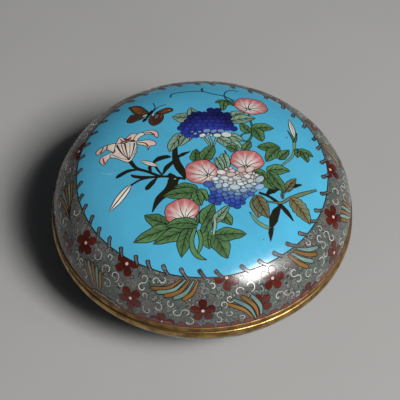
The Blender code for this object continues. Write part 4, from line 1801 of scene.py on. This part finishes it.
@dataclass
class Shells:
    """The copper cores of the lid and the bowl, enamelled plainly inside."""

    workshop: Workshop

    OUTER_STEPS = 60
    INNER_STEPS = 48
    TURN_STEPS = 144
    CREASE = 40.0
    UNDER_SKIN = 0.9

    def core(self, name: str, form: ShellForm, edge_height: float, slot: str) -> None:
        """Makes one core: a hollow cap whose outside lies just under the skin.

        Args:
            name: The piece's name, after the node that it stands for.
            form: The form of the shell's outside.
            edge_height: Height of the shell's open edge, in metres.
            slot: The record's material slot.
        """
        edge = form.run_at_height(edge_height)
        inner_form = ShellForm(form.radius - WALL, form.depth - WALL, form.fullness, form.mouth, form.up)
        inner_edge = inner_form.run_at_height(edge_height)
        outside = form.section(0.0, edge, self.OUTER_STEPS, -self.UNDER_SKIN * SKIN)
        lining = inner_form.section(0.0, inner_edge, self.INNER_STEPS, 0.0)
        obj = turn_section(f"{name}_core", outside + lining[::-1], False, self.TURN_STEPS, self.CREASE)
        self.dress(obj, inner_form)
        self.workshop.hand_over(obj, slot, (name,))

    def dress(self, obj: bpy.types.Object, inner_form: ShellForm) -> None:
        """Gives a core its metal, and turquoise enamel on its inside."""
        mesh = obj.data
        mesh.materials.append(self.workshop.material(GILT))
        mesh.materials.append(self.workshop.material(LINING_ENAMEL))
        places = np.array([tuple(face.center) for face in mesh.polygons])
        facing = np.array([tuple(face.normal) for face in mesh.polygons])
        inwards = np.sum(inner_form.normals(places) * facing, axis=1) < -0.5
        for face, is_lining in zip(mesh.polygons, inwards):
            face.material_index = 1 if is_lining else 0
        glaze = mesh.color_attributes.new(GLAZE, "FLOAT_COLOR", "CORNER")
        row = (*scaled(TURQUOISE, 0.8), 1.0)
        glaze.data.foreach_set("color", np.tile(row, len(mesh.loops)))


@dataclass
class Brasses:
    """The gilt rim bands, the lip and the foot ring."""

    workshop: Workshop

    TURN_STEPS = 240
    CREASE = 35.0
    BEAD_STEPS = 14
    SOFTEN = 0.00025
    CLEAR = 0.0001

    def ring(self, name: str, section: Sequence[tuple[float, float]], finish: MetalFinish = GILT) -> None:
        """Turns a ring and dresses it, to stand for the node of the same name."""
        obj = turn_section(f"{name}_gilt", section, True, self.TURN_STEPS, self.CREASE)
        obj.data.materials.append(self.workshop.material(finish))
        self.workshop.hand_over(obj, "gilt_brass", (name,))

    def bead(self, top: float, bottom: float, widest: float) -> list[tuple[float, float]]:
        """Returns the half-round outside of a band between two heights, out to its widest radius."""
        radii = (widest - ENAMEL_RADIUS, (top - bottom) / 2.0)
        return arc_points((ENAMEL_RADIUS, (top + bottom) / 2.0), radii, 90.0, -90.0, self.BEAD_STEPS)

    def lid_rim(self) -> None:
        """Makes the lid's rim band: a low bead that meets the enamel above it."""
        top = LID_LOW.z
        bottom = LID_RIM_LOW.z
        inner = ENAMEL_RADIUS - WALL + self.CLEAR
        bead = self.bead(top, bottom, LID_RIM_HIGH.x)
        self.ring("lid_rim", [*bead, (inner, bottom), (inner, top)], DULL_GILT)

    def bowl_rim(self) -> None:
        """Makes the bowl's rim band, a full half-round bead, with the upright lip inside the lid."""
        bottom = BOWL_HIGH.z
        lip_outer = ENAMEL_RADIUS - WALL - LIP_PLAY - 2.0 * self.CLEAR
        lip_inner = lip_outer - LIP_THICKNESS
        round_off = LIP_THICKNESS / 2.0
        top = ((lip_outer + lip_inner) / 2.0, BOWL_RIM_HIGH.z - round_off)
        crown = arc_points(top, (round_off, round_off), 180.0, 0.0, 8)
        bead = self.bead(SEAM, bottom, BOWL_RIM_HIGH.x)
        self.ring("bowl_rim", [*bead, (lip_inner, bottom), *crown, (lip_outer, SEAM)])

    def foot_ring(self) -> None:
        """Makes the foot ring, with softened edges on its underside."""
        outer = FOOT_HIGH.x
        inner = outer - FOOT_WIDTH
        soft = self.SOFTEN
        seat = [(reach, self.underside(reach)) for reach in np.linspace(inner, outer, 5)]
        right = arc_points((outer - soft, soft), (soft, soft), 0.0, -90.0, 4)
        left = arc_points((inner + soft, soft), (soft, soft), -90.0, -180.0, 4)
        self.ring("foot_ring", [*seat, *right, *left])

    def underside(self, reach: float) -> float:
        """Returns the height of the bowl's outside at a distance from the axis."""
        inside = 1.0 - (reach / BOWL_FORM.radius) ** BOWL_FULLNESS
        return SEAM - BOWL_FORM.depth * inside ** (1.0 / BOWL_FULLNESS) + self.CLEAR / 2.0


@dataclass
class Studio:
    """The floor, the lights and the camera."""

    workshop: Workshop

    DISTANCE = 0.480
    ELEVATION = 52.07
    AIM_HEIGHT = 0.0265
    AIM_SHIFT = (-0.00084, 0.00296)
    FOCAL_PIXELS = 1199.5
    FRAME_PIXELS = 400.0
    SENSOR = 36.0
    NEAREST = 0.01
    FURTHEST = 20.0
    FLOOR_SIZE = 8.0
    ROOM_COLOUR = (0.60, 0.64, 0.70, 1.0)
    ROOM_STRENGTH = 0.055

    def floor(self) -> None:
        """Lays a pale floor."""
        bpy.ops.object.select_all(action="DESELECT")
        bpy.ops.mesh.primitive_plane_add(size=self.FLOOR_SIZE, location=(0.0, 0.0, 0.0))
        ground = bpy.context.object
        ground.name = "pale_floor"
        ground.data.materials.append(self.workshop.material(FloorFinish()))

    def camera(self) -> None:
        """Sets the camera where the photograph was taken from."""
        tilt = math.radians(self.ELEVATION)
        back = Vector((0.0, -math.cos(tilt), math.sin(tilt)))
        up = Vector((0.0, math.sin(tilt), math.cos(tilt)))
        centre = Vector((0.0, 0.0, self.AIM_HEIGHT))
        eye = centre + back * self.DISTANCE
        aim = centre + Vector((1.0, 0.0, 0.0)) * self.AIM_SHIFT[0] + up * self.AIM_SHIFT[1]
        data = bpy.data.cameras.new("camera")
        data.sensor_width = self.SENSOR
        data.lens = self.SENSOR * self.FOCAL_PIXELS / self.FRAME_PIXELS
        data.clip_start = self.NEAREST
        data.clip_end = self.FURTHEST
        obj = bpy.data.objects.new("camera", data)
        bpy.context.scene.collection.objects.link(obj)
        obj.location = eye
        obj.rotation_euler = (aim - eye).to_track_quat("-Z", "Y").to_euler()
        bpy.context.scene.camera = obj

    def softbox(self, name: str, azimuth: float, elevation: float, distance: float,
                size: tuple[float, float], power: float, colour: Colour) -> None:
        """Hangs a soft light that faces the box.

        Args:
            name: The light's name.
            azimuth: Its direction from the box, in degrees from the X axis.
            elevation: Its direction above the floor, in degrees.
            distance: How far away it hangs, in metres.
            size: Its width and height, in metres.
            power: Its power, in watts.
            colour: Its colour.
        """
        data = bpy.data.lights.new(name, "AREA")
        data.shape = "RECTANGLE"
        data.size, data.size_y = size
        data.energy = power
        data.color = colour
        obj = bpy.data.objects.new(name, data)
        bpy.context.scene.collection.objects.link(obj)
        side, rise = math.radians(azimuth), math.radians(elevation)
        way = Vector((math.cos(side) * math.cos(rise), math.sin(side) * math.cos(rise), math.sin(rise)))
        target = Vector((0.0, 0.0, SEAM))
        facing = way.to_track_quat("Z", "Y").to_matrix().to_4x4()
        obj.matrix_world = Matrix.Translation(target + way * distance) @ facing

    def lights(self) -> None:
        """Sets a strong softbox at the front right, a wide weak one round it, and a dim grey room."""
        self.softbox("key", azimuth=-42.8, elevation=48.0, distance=1.5, size=(0.46, 0.46), power=25.0,
                     colour=(1.0, 0.98, 0.96))
        self.softbox("halo", azimuth=-38.0, elevation=46.0, distance=1.7, size=(1.0, 0.8), power=5.8,
                     colour=(0.97, 0.99, 1.0))
        world = bpy.data.worlds.new("dim_room")
        bpy.context.scene.world = world
        world.use_nodes = True
        backdrop = world.node_tree.nodes["Background"]
        backdrop.inputs["Color"].default_value = self.ROOM_COLOUR
        backdrop.inputs["Strength"].default_value = self.ROOM_STRENGTH
        bpy.context.scene.view_settings.view_transform = "Standard"

    def build(self) -> None:
        """Sets up the whole studio."""
        self.camera()
        self.floor()
        self.lights()


def main() -> None:
    """Builds the box and the studio round it."""
    logging.basicConfig(level=logging.INFO, format="%(name)s: %(message)s")
    workshop = Workshop()
    Studio(workshop).build()
    shells = Shells(workshop)
    shells.core("lid_shell", LID_FORM, LID_LOW.z, "lid_enamel")
    shells.core("bowl_shell", BOWL_FORM, BOWL_HIGH.z, "bowl_enamel")
    brasses = Brasses(workshop)
    brasses.lid_rim()
    brasses.bowl_rim()
    brasses.foot_ring()
    skins = Skins(workshop)
    skins.lid()
    skins.bowl()


if __name__ == "__main__":
    main()
